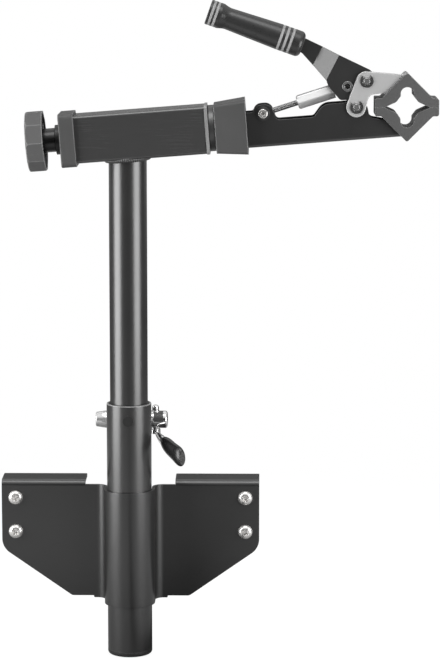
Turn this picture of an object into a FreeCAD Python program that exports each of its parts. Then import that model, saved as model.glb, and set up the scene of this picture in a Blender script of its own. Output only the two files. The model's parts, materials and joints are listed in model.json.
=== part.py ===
import FreeCAD, Part
import math
import os
import Sketcher
from FreeCAD import Placement, Rotation, Vector

# Bicycle repair stand for the edge of a workbench.
# A folded bracket is screwed to the bench front and carries an upright sleeve.
# The post slides and swivels in the sleeve, and a quick release locks it.
# The head tube on top carries a clamp head that turns about the tube's axis.
# The clamp closes over centre: jaw, lever, threaded rod and fixed arm are its four links.
# Frame: X to the right, Y away from the user, Z up.
# Origin: centre of the four screws, on the bracket's back face.

doc = FreeCAD.newDocument("RepairStand")
dim = doc.addObject("Spreadsheet::Sheet", "dim")

# Driving sizes in millimetres and degrees
sizes = dict(
    # bracket plate, folded from one sheet
    plateWidth=263.5, sheet=3.0, wingTop=36.0, lipReach=31.0, lipBend=3.0, lipRound=1.5,
    notchHalf=46.0, notchDrop=4.6, sideCorner=-34.8, sideRound=18.0,
    footHalf=60.2, footRound=6.0, wingFoot=-84.9, saddleFoot=-87.0, saddleBend=8.5,
    screwEdge=14.25, screwZ=17.7, screwHole=4.5,
    # screws
    screwShank=3.95, screwNeck=4.2, screwLength=40.0, screwHead=7.4, screwHeadHeight=5.0,
    crossWidth=1.7, crossSpan=8.0, crossDepth=2.8,
    # sleeve, liner and end plug
    axisOut=22.5, sleeveRadius=22.6, sleeveWall=2.0, sleeveTop=120.0, sleeveFoot=-134.5,
    mouthRound=0.6, slitWidth=4.0, slitLow=62.0, slitEnd=4.0, linerLength=70.0, linerGap=0.05,
    buttonRadius=5.5, buttonZ=105.0, buttonProud=0.6,
    plugHeight=5.0, plugSpigot=12.0, plugRound=3.0,
    # post
    postRadius=19.05, postWall=2.0, postDepth=110.0, postFit=0.1, headHeight=391.2, weldSize=4.5,
    sliderHeight=8.0, sliderSpigot=18.0,
    # quick release
    skewerBack=32.0, skewerZ=97.0, skewerRadius=2.5, lugInner=2.0, lugThick=6.0, lugBack=42.0, lugHalf=10.0,
    washerThick=1.5, washerRadius=8.0,
    nutInner=9.0, nutOuter=7.3, nutEnd=35.4, nutFlats=8.0, nutFlatDepth=0.7,
    housingRadius=8.85, housingEnd=38.0, housingRound=2.5, camX=25.6, camRadius=4.4, camDome=3.4,
    camTop=15.0, camThrow=1.2, hubDrop=1.2, hubRadius=5.0, leverBar=4.4,
    leverOut=27.2, leverRun=58.6, leverDrop=15.0, coverStart=0.49, paddle=19.2, paddleThick=8.9,
    # head tube and its fittings
    tilt=4.4, tubeSide=47.0, tubeWall=2.5, tubeRound=3.0, tubeRear=60.0, tubeFront=78.0,
    endPlate=3.0, endPlateSide=48.4, capSide=53.2, capRear=66.4, capFront=51.4, capRound=5.0,
    shaftRadius=10.0, bushFit=0.1, bushLength=22.0, thrustRadius=14.8, thrustThick=5.0,
    discRadius=23.0, discFront=87.2, flangeRadius=17.0, flangeThick=4.0,
    # knob
    knobRadius=30.7, knobThick=17.0, knobDome=1.4, knobHub=11.9, knobFace=82.8, knobFlats=10.0,
    knobFlatDepth=1.5, knobWall=3.5, insertRadius=7.0, threadRadius=5.0,
    # collar
    collarRear=87.5, collarFront=118.9, collarSmall=48.0, collarLarge=54.0, collarWall=3.0, collarRound=3.0,
    # clamp arm, a channel open at the top
    armHalf=16.0, armSheet=3.0, armRear=94.6, armFoot=-21.4, armRoot=13.4, earRadius=8.4,
    waistTop=4.2, humpTop=16.1, humpLeft=195.7, humpRight=238.3,
    # four pivots of the clamp, in the arm's plane
    pivotAx=228.4, pivotAz=11.3, pivotBx=240.1, pivotBz=36.1, pivotCx=220.8, pivotCz=32.1,
    pivotDx=135.8, pivotDz=11.7,
    pinRadius=3.5, pinFit=0.08, pinProud=2.2,
    clipRadius=6.6, clipBore=4.5, clipThick=1.0, clipGap=7.6, clipTab=2.4,
    boltRadius=4.0, boltHead=4.6, boltHeadHeight=3.0, boltWasher=6.8, socketFlats=4.0,
    # jaw link plates
    linkGap=0.3, linkSheet=3.0, linkBoss=10.2, linkCrown=9.4, linkRound=0.8, rearTrim=3.0,
    # jaws, a pair of vee blocks
    jawX=276.4, jawRise=28.6, jawHalf=34.1, jawDepth=44.0, earReach=31.4, earHeight=8.7, jawGap=0.3,
    notchRadius=6.5, notchTop=19.9, tipReach=22.2, shoulderX=10.8, shoulderZ=5.3, notchSide=11.0,
    seatSheet=3.0, seatLeg=31.0, seatShort=26.5, seatFit=0.2, padRound=2.0,
    # lever
    leverSheet=3.0, bendAngle=58.5, bendNear=35.7, bendFar=53.8, leverHalf=16.0,
    gripX=180.1, gripZ=74.9, gripAngle=156.2, gripLength=99.0, gripSmall=10.8, gripLarge=12.8, gripFlare=12.6,
    flareLength=13.8, ringWidth=2.5, ringStart=11.4, ringPitch=5.3, tailStart=2.6, tailPitch=4.3,
    ringDepth=0.5, tangHalf=7.1, tangLength=72.0, tangFit=0.2,
    rivetHead=5.2, rivetTube=3.6, rivetBore=2.8, rivetHeadThick=0.9, rivetDeep=8.0,
    # adjuster
    rodDrop=1.3, rodRadius=3.0, eyeRadius=7.0, eyeHalf=12.7, barrelStart=35.5, barrelLength=38.0,
    barrelFlats=13.2, threadFit=0.1, swivelEye=9.2, swivelBore=6.2, swivelHalf=6.0,
    # length of a cut that passes right through its piece
    through=400.0,
)
for row, (name, value) in enumerate(sizes.items(), start=1):
    dim.set("A%d" % row, name)
    dim.set("B%d" % row, repr(value))
    dim.setAlias("B%d" % row, name)
doc.recompute()


def num(text):
    # value of a formula in the sheet's names
    if isinstance(text, (int, float)):
        return float(text)
    return float(dim.evalExpression(text))


# Frames: the post's axis, and the tilted head with its own X along the tube
postFrame = Placement(Vector(0, -num("dim.axisOut"), 0), Rotation())
headFrame = Placement(Vector(0, -num("dim.axisOut"), num("dim.headHeight")),
                      Rotation(Vector(0, 1, 0), -num("dim.tilt")))
jawFrame = Placement(Vector(num("dim.jawX"), -num("dim.axisOut"), num("dim.headHeight + dim.jawRise")),
                     Rotation())

pieces = []


def keep(item, label, place=None):
    item.Label = label
    if place is not None:
        item.Placement = place
    pieces.append(item)
    return item


def newBody(label, place=None):
    piece = doc.addObject("PartDesign::Body", "body_" + label)
    return keep(piece, label, place)


def newSketch(piece, role, shift=0):
    # a sketch on one of the body's own origin planes, moved along its normal
    drawing = piece.newObject("Sketcher::SketchObject", "sketch")
    base = [f for f in piece.Origin.OriginFeatures if f.Role == role][0]
    drawing.AttachmentSupport = [(base, "")]
    drawing.MapMode = "FlatFace"
    drawing.AttachmentOffset = Placement(Vector(0, 0, num(shift)), Rotation())
    if isinstance(shift, str):
        drawing.setExpression("AttachmentOffset.Base.z", shift)
    return drawing


def fixPoint(drawing, geo, end, x, y):
    for kind, text in (("DistanceX", x), ("DistanceY", y)):
        place = drawing.addConstraint(Sketcher.Constraint(kind, geo, end, num(text)))
        if isinstance(text, str):
            drawing.setExpression("Constraints[%d]" % place, text)


def circle(drawing, x, y, radius):
    geo = drawing.addGeometry(Part.Circle(Vector(num(x), num(y), 0), Vector(0, 0, 1), num(radius)), False)
    fixPoint(drawing, geo, 3, x, y)
    place = drawing.addConstraint(Sketcher.Constraint("Radius", geo, num(radius)))
    if isinstance(radius, str):
        drawing.setExpression("Constraints[%d]" % place, radius)


def outline(drawing, corners):
    # a closed outline of straight sides, with corners (x, y) or (x, y, radius of the rounding)
    count = len(corners)
    points = [Vector(num(c[0]), num(c[1]), 0) for c in corners]
    radii = [num(c[2]) if len(c) > 2 else 0.0 for c in corners]
    starts = []
    ends = []
    arcs = []
    for i in range(count):
        here = points[i]
        back = (points[i - 1] - here).normalize()
        ahead = (points[(i + 1) % count] - here).normalize()
        if radii[i] <= 0:
            ends.append(here)
            starts.append(here)
            arcs.append(None)
            continue
        half = back.getAngle(ahead) / 2
        reach = radii[i] / math.tan(half)
        ends.append(here + back * reach)
        starts.append(here + ahead * reach)
        centre = here + (back + ahead).normalize() * (radii[i] / math.sin(half))
        left = (points[i - 1] - here).cross(points[(i + 1) % count] - here).z < 0
        arcs.append((centre, left))
    lines = []
    for i in range(count):
        side = Part.LineSegment(starts[i], ends[(i + 1) % count])
        lines.append(drawing.addGeometry(side, False))
    for i in range(count):
        before = lines[i - 1]
        after = lines[i]
        x, y = corners[i][0], corners[i][1]
        if arcs[i] is None:
            drawing.addConstraint(Sketcher.Constraint("Coincident", before, 2, after, 1))
            fixPoint(drawing, after, 1, x, y)
            continue
        centre, left = arcs[i]
        first = math.atan2(ends[i].y - centre.y, ends[i].x - centre.x)
        last = math.atan2(starts[i].y - centre.y, starts[i].x - centre.x)
        if not left:
            first, last = last, first
        while last < first:
            last += 2 * math.pi
        ring = Part.Circle(centre, Vector(0, 0, 1), radii[i])
        arc = drawing.addGeometry(Part.ArcOfCircle(ring, first, last), False)
        mark = drawing.addGeometry(Part.Point(points[i]), True)
        inEnd, outEnd = (1, 2) if left else (2, 1)
        drawing.addConstraint(Sketcher.Constraint("Tangent", before, 2, arc, inEnd))
        drawing.addConstraint(Sketcher.Constraint("Tangent", after, 1, arc, outEnd))
        drawing.addConstraint(Sketcher.Constraint("PointOnObject", mark, 1, before))
        drawing.addConstraint(Sketcher.Constraint("PointOnObject", mark, 1, after))
        fixPoint(drawing, mark, 1, x, y)
        place = drawing.addConstraint(Sketcher.Constraint("Radius", arc, radii[i]))
        if isinstance(corners[i][2], str):
            drawing.setExpression("Constraints[%d]" % place, corners[i][2])


def rectangle(drawing, x1, y1, x2, y2, radius=None):
    corners = [(x1, y1), (x2, y1), (x2, y2), (x1, y2)]
    if radius is not None:
        corners = [c + (radius,) for c in corners]
    outline(drawing, corners)


def pad(piece, drawing, length, both=False, back=False, taper=None):
    step = piece.newObject("PartDesign::Pad", "pad")
    step.Profile = drawing
    step.Length = num(length)
    if isinstance(length, str):
        step.setExpression("Length", length)
    if both:
        step.SideType = "Symmetric"
    step.Reversed = back
    if taper is not None:
        step.TaperAngle = num(taper)
    drawing.Visibility = False
    return step


def pocket(piece, drawing, length=None, both=False, back=False):
    step = piece.newObject("PartDesign::Pocket", "pocket")
    step.Profile = drawing
    if length is None:
        length = 1000.0
    step.Length = num(length)
    if isinstance(length, str):
        step.setExpression("Length", length)
    if both:
        step.SideType = "Symmetric"
    step.Reversed = back
    drawing.Visibility = False
    return step


def revolve(piece, drawing, axis="H_Axis", cut=False):
    kind = "PartDesign::Groove" if cut else "PartDesign::Revolution"
    step = piece.newObject(kind, "turned")
    step.Profile = drawing
    step.ReferenceAxis = (drawing, [axis])
    step.Angle = 360.0
    drawing.Visibility = False
    return step


def roundEdges(piece, radius, pick):
    # a fillet on the edges that pick() chooses by their middle point and direction
    doc.recompute()
    names = []
    for i, edge in enumerate(piece.Tip.Shape.Edges, start=1):
        if pick(edge):
            names.append("Edge%d" % i)
    if not names:
        raise ValueError(piece.Label + ": no edge to round")
    step = piece.newObject("PartDesign::Fillet", "rounding")
    step.Base = (piece.Tip if piece.Tip is not step else step.BaseFeature, names)
    step.Radius = num(radius)
    if isinstance(radius, str):
        step.setExpression("Radius", radius)
    return step


def middle(edge):
    return edge.CenterOfMass


def straight(edge):
    return edge.Curve.TypeId == "Part::GeomLine"


def along(edge, axis):
    if not straight(edge):
        return False
    way = edge.Vertexes[-1].Point - edge.Vertexes[0].Point
    return way.Length > 0 and abs(way.normalize().dot(axis)) > 0.999


def group(label, shapes, place=None):
    # several loose solids that share one name
    item = doc.addObject("Part::Feature", "group_" + label)
    item.Shape = Part.makeCompound(shapes)
    return keep(item, label, place)


alongX = Vector(1, 0, 0)
alongY = Vector(0, 1, 0)
alongZ = Vector(0, 0, 1)


# Bracket plate: hat section, cut to its outline, with a lip folded back from each wing
def bracketPlate():
    piece = newBody("bracket_plate")
    half = "dim.plateWidth / 2"
    outer = "(dim.sleeveRadius + dim.linerGap + dim.sheet)"
    inner = "(dim.sleeveRadius + dim.linerGap)"
    section = newSketch(piece, "XY_Plane", "dim.saddleFoot")
    front = "-dim.sheet"
    seatY = "-dim.axisOut"
    side = "dim.saddleBend"
    deep = "dim.saddleBend + dim.sheet"
    # front wall of the saddle as a half circle, then walls, bends and wings
    ro, ri, yc = num(outer), num(inner), num(seatY)
    add = lambda shape: section.addGeometry(shape, False)
    z = Vector(0, 0, 1)
    halfW, s, rb = num(half), num("dim.sheet"), num(side)
    arcO = add(Part.ArcOfCircle(Part.Circle(Vector(0, yc, 0), z, ro), math.pi, 2 * math.pi))
    arcI = add(Part.ArcOfCircle(Part.Circle(Vector(0, yc, 0), z, ri), math.pi, 2 * math.pi))
    chain = []
    for sign in (1, -1):
        bend = Vector(sign * (ro + rb), -s - rb, 0)
        wallO = add(Part.LineSegment(Vector(sign * ro, yc, 0), Vector(sign * ro, -s - rb, 0)))
        wallI = add(Part.LineSegment(Vector(sign * ri, yc, 0), Vector(sign * ri, -s - rb, 0)))
        a1, a2 = (math.pi / 2, math.pi) if sign > 0 else (0.0, math.pi / 2)
        bendO = add(Part.ArcOfCircle(Part.Circle(bend, z, rb), a1, a2))
        bendI = add(Part.ArcOfCircle(Part.Circle(bend, z, rb + s), a1, a2))
        wingO = add(Part.LineSegment(Vector(sign * (ro + rb), -s, 0), Vector(sign * halfW, -s, 0)))
        wingI = add(Part.LineSegment(Vector(sign * (ro + rb), 0, 0), Vector(sign * halfW, 0, 0)))
        edge = add(Part.LineSegment(Vector(sign * halfW, -s, 0), Vector(sign * halfW, 0, 0)))
        chain.append((sign, wallO, wallI, bendO, bendI, wingO, wingI, edge))
    tie = lambda *words: section.addConstraint(Sketcher.Constraint(*words))
    for arc, radius in ((arcO, outer), (arcI, inner)):
        fixPoint(section, arc, 3, 0, seatY)
        place = tie("Radius", arc, num(radius))
        section.setExpression("Constraints[%d]" % place, radius)
    for sign, wallO, wallI, bendO, bendI, wingO, wingI, edge in chain:
        end = 2 if sign > 0 else 1
        wallEnd, wingEnd = (2, 1) if sign > 0 else (1, 2)
        tie("Tangent", arcO, end, wallO, 1)
        tie("Tangent", arcI, end, wallI, 1)
        tie("Vertical", wallO)
        tie("Vertical", wallI)
        tie("Tangent", wallO, 2, bendO, wallEnd)
        tie("Tangent", wallI, 2, bendI, wallEnd)
        tie("Tangent", bendO, wingEnd, wingO, 1)
        tie("Tangent", bendI, wingEnd, wingI, 1)
        tie("Coincident", wingO, 2, edge, 1)
        tie("Coincident", wingI, 2, edge, 2)
        fixPoint(section, edge, 1, ("" if sign > 0 else "-") + half, front)
        fixPoint(section, edge, 2, ("" if sign > 0 else "-") + half, 0)
        place = tie("Radius", bendO, rb)
        section.setExpression("Constraints[%d]" % place, side)
        place = tie("Radius", bendI, rb + s)
        section.setExpression("Constraints[%d]" % place, deep)
    pad(piece, section, "dim.wingTop - dim.notchDrop - dim.saddleFoot")
    # outline cut from the front: lower corners, wing feet and the notch between the wings
    cut = newSketch(piece, "XZ_Plane")
    low = "dim.saddleFoot - 5"
    for sign in ("", "-"):
        edge = sign + "(dim.plateWidth / 2 + 5)"
        outline(cut, [
            (sign + half, "dim.sideCorner", "dim.sideRound"),
            (sign + "dim.footHalf", "dim.wingFoot", "dim.footRound"),
            (sign + "(dim.sleeveRadius + dim.sheet + dim.saddleBend + 4)", "dim.wingFoot"),
            (sign + "(dim.sleeveRadius + dim.sheet + dim.saddleBend + 2)", low),
            (edge, low),
            (edge, "dim.sideCorner + 2 * dim.sideRound"),
            (sign + half, "dim.sideCorner + 2 * dim.sideRound")])
        bend = "dim.wingTop - dim.lipBend - dim.sheet"
        rectangle(cut, sign + "dim.notchHalf", bend, edge, "dim.wingTop")
    pocket(piece, cut, "dim.through", both=True)
    # wings rise above the middle and fold back into the lips
    for sign in (1, -1):
        fold = newSketch(piece, "YZ_Plane", ("" if sign > 0 else "-") + "dim.notchHalf")
        base = "dim.wingTop - dim.lipBend - dim.sheet - 1"
        outline(fold, [
            ("-dim.sheet", base),
            ("-dim.sheet", "dim.wingTop", "dim.lipBend + dim.sheet"),
            ("dim.lipReach", "dim.wingTop"),
            ("dim.lipReach", "dim.wingTop - dim.sheet"),
            (0, "dim.wingTop - dim.sheet", "dim.lipBend"),
            (0, base)])
        pad(piece, fold, "dim.plateWidth / 2 - dim.notchHalf", back=sign < 0)
    holes = newSketch(piece, "XZ_Plane")
    for sx in ("", "-"):
        for sz in ("", "-"):
            circle(holes, sx + "(dim.plateWidth / 2 - dim.screwEdge)", sz + "dim.screwZ", "dim.screwHole")
    pocket(piece, holes, 20.0, both=True)
    reach = num("dim.lipReach")
    roundEdges(piece, "dim.lipRound", lambda e: along(e, alongZ) and abs(middle(e).y - reach) < 0.1)
    return piece


# Four pan head screws with a cross recess, through the wings
def bracketScrews():
    one = doc.addObject("PartDesign::Body", "one_screw")
    profile = newSketch(one, "XY_Plane")
    outline(profile, [
        (0, "-dim.sheet"),
        ("dim.screwHead", "-dim.sheet"),
        ("dim.screwHead", "-dim.sheet - dim.screwHeadHeight", "dim.screwHeadHeight * 0.55"),
        (0, "-dim.sheet - dim.screwHeadHeight")])
    revolve(one, profile, "V_Axis")
    shank = newSketch(one, "XY_Plane")
    outline(shank, [
        (0, "-dim.sheet"),
        ("dim.screwNeck", "-dim.sheet"),
        ("dim.screwNeck", 0),
        ("dim.screwShank", 0),
        ("dim.screwShank", "dim.screwLength - 2"),
        ("dim.screwShank - 1.2", "dim.screwLength - dim.sheet"),
        (0, "dim.screwLength - dim.sheet")])
    revolve(one, shank, "V_Axis")
    cross = newSketch(one, "XZ_Plane", "dim.sheet + dim.screwHeadHeight")
    a = "dim.crossWidth / 2"
    b = "dim.crossSpan / 2"
    outline(cross, [
        (a, a), (b, a), (b, "-" + a), (a, "-" + a), (a, "-" + b), ("-" + a, "-" + b),
        ("-" + a, "-" + a), ("-" + b, "-" + a), ("-" + b, a), ("-" + a, a), ("-" + a, b), (a, b)])
    pocket(one, cross, "dim.crossDepth")
    doc.recompute()
    copies = []
    for sx in (1, -1):
        for sz in (1, -1):
            place = Vector(sx * num("dim.plateWidth / 2 - dim.screwEdge"), 0, sz * num("dim.screwZ"))
            copies.append(one.Shape.translated(place))
    return group("bracket_screws", copies)


# Sleeve: welded tube with a slit at the back for the quick release
def sleeveTube():
    piece = newBody("sleeve_tube", postFrame)
    ring = newSketch(piece, "XY_Plane", "dim.sleeveFoot")
    circle(ring, 0, 0, "dim.sleeveRadius")
    circle(ring, 0, 0, "dim.sleeveRadius - dim.sleeveWall")
    pad(piece, ring, "dim.sleeveTop - dim.sleeveFoot")
    slit = newSketch(piece, "XZ_Plane")
    rectangle(slit, "-dim.slitWidth / 2", "dim.slitLow", "dim.slitWidth / 2", "dim.sleeveTop + 1")
    pocket(piece, slit, "2 * dim.sleeveRadius")
    stop = newSketch(piece, "XZ_Plane")
    circle(stop, 0, "dim.slitLow", "dim.slitEnd")
    pocket(piece, stop, "2 * dim.sleeveRadius")
    button = newSketch(piece, "XZ_Plane")
    circle(button, 0, "dim.buttonZ", "dim.buttonRadius + 0.1")
    pocket(piece, button, "2 * dim.sleeveRadius", back=True)
    top = num("dim.sleeveTop")
    roundEdges(piece, "dim.mouthRound", lambda e: not straight(e) and abs(middle(e).z - top) < 0.01)
    return piece


# Plastic liner in the sleeve's mouth, held by a button in a hole
def postLiner():
    piece = newBody("post_liner", postFrame)
    outer = "dim.sleeveRadius - dim.sleeveWall - dim.linerGap"
    bore = "dim.postRadius + dim.postFit"
    ring = newSketch(piece, "XY_Plane", "dim.sleeveTop - dim.linerLength")
    circle(ring, 0, 0, outer)
    pad(piece, ring, "dim.linerLength")
    peg = newSketch(piece, "XZ_Plane")
    circle(peg, 0, "dim.buttonZ", "dim.buttonRadius")
    pad(piece, peg, "dim.sleeveRadius + dim.buttonProud")
    hole = newSketch(piece, "XY_Plane", "dim.sleeveTop + 1")
    circle(hole, 0, 0, bore)
    pocket(piece, hole, "dim.linerLength + 2")
    slit = newSketch(piece, "XZ_Plane")
    rectangle(slit, "-dim.slitWidth / 2", "dim.sleeveTop - dim.linerLength - 1", "dim.slitWidth / 2",
              "dim.sleeveTop + 1")
    pocket(piece, slit, "2 * dim.sleeveRadius")
    return piece


# Plug that closes the sleeve's foot
def sleeveEndPlug():
    piece = newBody("sleeve_end_plug", postFrame)
    inner = "dim.sleeveRadius - dim.sleeveWall - dim.linerGap"
    profile = newSketch(piece, "XZ_Plane")
    outline(profile, [
        (6.0, "dim.sleeveFoot - dim.plugHeight"),
        ("dim.sleeveRadius", "dim.sleeveFoot - dim.plugHeight", "dim.plugRound"),
        ("dim.sleeveRadius", "dim.sleeveFoot"),
        (inner, "dim.sleeveFoot"),
        (inner, "dim.sleeveFoot + dim.plugSpigot"),
        (inner + " - 2.5", "dim.sleeveFoot + dim.plugSpigot"),
        (inner + " - 2.5", "dim.sleeveFoot"),
        (6.0, "dim.sleeveFoot")])
    revolve(piece, profile, "V_Axis")
    return piece


# Lugs on both sides of the slit
def clampLugs():
    shapes = []
    for sign in (1, -1):
        lug = doc.addObject("PartDesign::Body", "one_lug")
        side = newSketch(lug, "YZ_Plane", ("" if sign > 0 else "-") + "dim.lugInner")
        low = "dim.skewerZ - dim.lugHalf"
        high = "dim.skewerZ + dim.lugHalf"
        outline(side, [
            ("dim.sleeveRadius * 0.8", low), ("dim.lugBack", low, "dim.lugHalf * 0.9"),
            ("dim.lugBack", high, "dim.lugHalf * 0.9"), ("dim.sleeveRadius * 0.8", high)])
        pad(lug, side, "dim.lugThick", back=sign < 0)
        seat = newSketch(lug, "XY_Plane", low + " - 1")
        circle(seat, 0, 0, "dim.sleeveRadius")
        pocket(lug, seat, "2 * dim.lugHalf + 2", back=True)
        hole = newSketch(lug, "YZ_Plane")
        circle(hole, "dim.skewerBack", "dim.skewerZ", "dim.skewerRadius + 0.3")
        pocket(lug, hole, 60.0, both=True)
        doc.recompute()
        shapes.append(lug.Shape)
    return group("clamp_lugs", shapes, postFrame)


skewerFrame = postFrame.multiply(Placement(Vector(0, num("dim.skewerBack"), num("dim.skewerZ")), Rotation()))
lugFace = "(dim.lugInner + dim.lugThick)"
nutFace = "(dim.lugInner + dim.lugThick + dim.washerThick)"


# Skewer of the quick release, with an eye round the cam
def qrSkewer():
    piece = newBody("qr_skewer", skewerFrame)
    eye = newSketch(piece, "XY_Plane")
    circle(eye, "dim.camX", 0, "dim.camRadius + 1.4")
    pad(piece, eye, 6.0, both=True)
    profile = newSketch(piece, "XZ_Plane")
    outline(profile, [
        ("-dim.nutEnd + 1.2", 0), ("-dim.nutEnd + 1.2", "dim.skewerRadius"),
        ("dim.camX - dim.camRadius", "dim.skewerRadius"), ("dim.camX - dim.camRadius", 0)])
    revolve(piece, profile)
    hole = newSketch(piece, "XY_Plane")
    circle(hole, "dim.camX", 0, "dim.camRadius - dim.camThrow + dim.pinFit")
    pocket(piece, hole, 20.0, both=True)
    return piece


def qrWashers():
    shapes = []
    for sign in (1, -1):
        ring = Part.makeCylinder(num("dim.washerRadius"), num("dim.washerThick"), Vector(0, 0, 0), alongX)
        ring = ring.cut(Part.makeCylinder(num("dim.skewerRadius") + 0.3, 5, Vector(-1, 0, 0), alongX))
        start = num(lugFace) if sign > 0 else -num(nutFace)
        shapes.append(ring.translated(Vector(start, 0, 0)))
    return group("qr_washers", shapes, skewerFrame)


# Adjusting nut: a cone with flats
def qrNut():
    piece = newBody("qr_nut", skewerFrame)
    profile = newSketch(piece, "XZ_Plane")
    bore = "dim.skewerRadius + dim.threadFit"
    outline(profile, [
        ("-dim.nutEnd", bore), ("-dim.nutEnd", "dim.nutOuter", 1.2),
        ("-dim.nutEnd + 11", "dim.nutInner"), ("-" + nutFace + " - 0.1", "dim.nutInner", 1.5),
        ("-" + nutFace + " - 0.1", bore)])
    revolve(piece, profile)
    flat = newSketch(piece, "YZ_Plane", "-dim.nutEnd - 1")
    level = "dim.nutInner - dim.nutFlatDepth"
    rectangle(flat, -6.0, level, 6.0, "dim.nutInner + 3")
    cut = pocket(piece, flat, "dim.nutEnd - 14", back=True)
    turn = piece.newObject("PartDesign::PolarPattern", "flats")
    turn.Originals = [cut]
    turn.Axis = (profile, ["H_Axis"])
    turn.Angle = 360
    turn.Occurrences = int(num("dim.nutFlats"))
    piece.Tip = turn
    return piece


# Housing of the cam, bored for the skewer's eye and for the cam shaft
def qrHousing():
    piece = newBody("qr_housing", skewerFrame)
    profile = newSketch(piece, "XZ_Plane")
    outline(profile, [
        (nutFace, 0), (nutFace, "dim.housingRadius", 1.5),
        ("dim.housingEnd", "dim.housingRadius", "dim.housingRound"), ("dim.housingEnd", 0)])
    revolve(piece, profile)
    chamber = newSketch(piece, "XY_Plane")
    eye = "(dim.camRadius + 1.8)"
    rectangle(chamber, nutFace + " - 1", "-" + eye, "dim.camX + " + eye, eye)
    pocket(piece, chamber, 6.8, both=True)
    bore = newSketch(piece, "XY_Plane")
    circle(bore, "dim.camX", 0, "dim.camRadius + dim.pinFit")
    pocket(piece, bore, "dim.through", both=True)
    return piece


# Cam shaft: domed on top, eccentric where the skewer's eye rides
def qrCamShaft():
    piece = newBody("qr_cam_shaft", skewerFrame)
    profile = newSketch(piece, "XZ_Plane")
    waist = "(dim.camRadius - dim.camThrow)"
    outline(profile, [
        ("dim.camX", "-dim.housingRadius - dim.hubDrop"),
        ("dim.camX + dim.camRadius", "-dim.housingRadius - dim.hubDrop"),
        ("dim.camX + dim.camRadius", -3.2), ("dim.camX + " + waist, -3.2),
        ("dim.camX + " + waist, 3.2), ("dim.camX + dim.camRadius", 3.2),
        ("dim.camX + dim.camRadius", "dim.housingRadius"),
        ("dim.camX + dim.camDome", "dim.housingRadius"),
        ("dim.camX + dim.camDome", "dim.camTop", "dim.camDome * 0.7"),
        ("dim.camX", "dim.camTop")])
    centre, reach = num("dim.camX"), 20.0
    axis = profile.addGeometry(Part.LineSegment(Vector(centre, -reach, 0), Vector(centre, reach, 0)), True)
    fixPoint(profile, axis, 1, "dim.camX", -reach)
    fixPoint(profile, axis, 2, "dim.camX", reach)
    revolve(piece, profile, "Axis0")
    return piece


# Lever of the quick release: hub, neck and a blade that widens to the paddle
def ovalRing(centre, high, wide, flat):
    # a closed oval across the blade: upright half height, half width square to the run
    across = Vector(-flat.y, flat.x, 0)
    points = []
    for i in range(16):
        turn = 2 * math.pi * i / 16
        points.append(centre + across * (wide * math.cos(turn)) + alongZ * (high * math.sin(turn)))
    curve = Part.BSplineCurve()
    curve.interpolate(points, PeriodicFlag=True)
    return Part.Wire([curve.toShape()])


def bladeShape(grow, stations):
    # each station is its share of the run and how full the section is there
    run, bar, paddle = num("dim.leverRun"), num("dim.leverBar"), num("dim.paddle")
    neck = num("dim.coverStart")
    top = -num("dim.housingRadius + dim.hubDrop") - bar / 2
    front = -num("dim.hubRadius") * 0.4
    # how fast the blade turns out, drops and widens along its run, and how much thinner its neck is
    outBend, dropBend, widening, slimming = 1.35, 1.28, 0.72, 1.8
    flat = Vector(num("dim.leverOut"), -run, 0).normalize()
    rings = []
    for share, full in stations:
        centre = Vector(num("dim.camX") + num("dim.leverOut") * share ** outBend, front - share * run,
                        top - num("dim.leverDrop") * share ** dropBend)
        high = full * (bar + (paddle - bar) * share ** widening) / 2
        wide = full * (num("dim.paddleThick") / 2 - slimming * max(0.0, 1 - share / neck))
        rings.append(ovalRing(centre, high + grow, wide + grow, flat))
    return Part.makeLoft(rings, True, False)


def metalBlade():
    neck = num("dim.coverStart")
    under = -0.9
    return bladeShape(under, [(0.0, 1.0), (neck / 2, 1.0), (neck, 1.0), (0.75, 1.0), (0.92, 1.0), (1.0, 0.9)])


def qrLever():
    hubZ = -num("dim.housingRadius") - num("dim.hubDrop") - num("dim.leverBar")
    base = Vector(num("dim.camX"), 0, hubZ)
    hub = Part.makeCylinder(num("dim.hubRadius"), num("dim.leverBar"), base)
    item = doc.addObject("Part::Feature", "lever_metal")
    item.Shape = hub.fuse(metalBlade()).removeSplitter()
    return keep(item, "qr_lever", skewerFrame)


def qrLeverCover():
    start = num("dim.coverStart")
    over = 0.6
    skin = bladeShape(over, [
        (start, 0.85), (start + 0.08, 1.0), (0.75, 1.0), (0.92, 1.0), (1.0, 0.9), (1.05, 0.6)])
    item = doc.addObject("Part::Feature", "lever_cover")
    item.Shape = skin.cut(metalBlade()).removeSplitter()
    return keep(item, "qr_lever_cover", skewerFrame)


headDrop = "(dim.tubeSide / 2)"


# Post: its top is cut to the tilted head tube
def postTube():
    low = num("dim.sleeveTop - dim.postDepth")
    top = num("dim.headHeight")
    tube = Part.makeCylinder(num("dim.postRadius"), top - low, Vector(0, 0, low))
    bore = Part.makeCylinder(num("dim.postRadius - dim.postWall"), top - low, Vector(0, 0, low))
    side = 200.0
    block = Part.makeBox(side, side, side, Vector(-side / 2, -side / 2, -num(headDrop)))
    leaning = Placement(Vector(0, 0, top), Rotation(alongY, -num("dim.tilt")))
    block.Placement = leaning.multiply(block.Placement)
    item = doc.addObject("Part::Feature", "post_pipe")
    item.Shape = tube.cut(bore).cut(block)
    return keep(item, "post_tube", postFrame)


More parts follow.
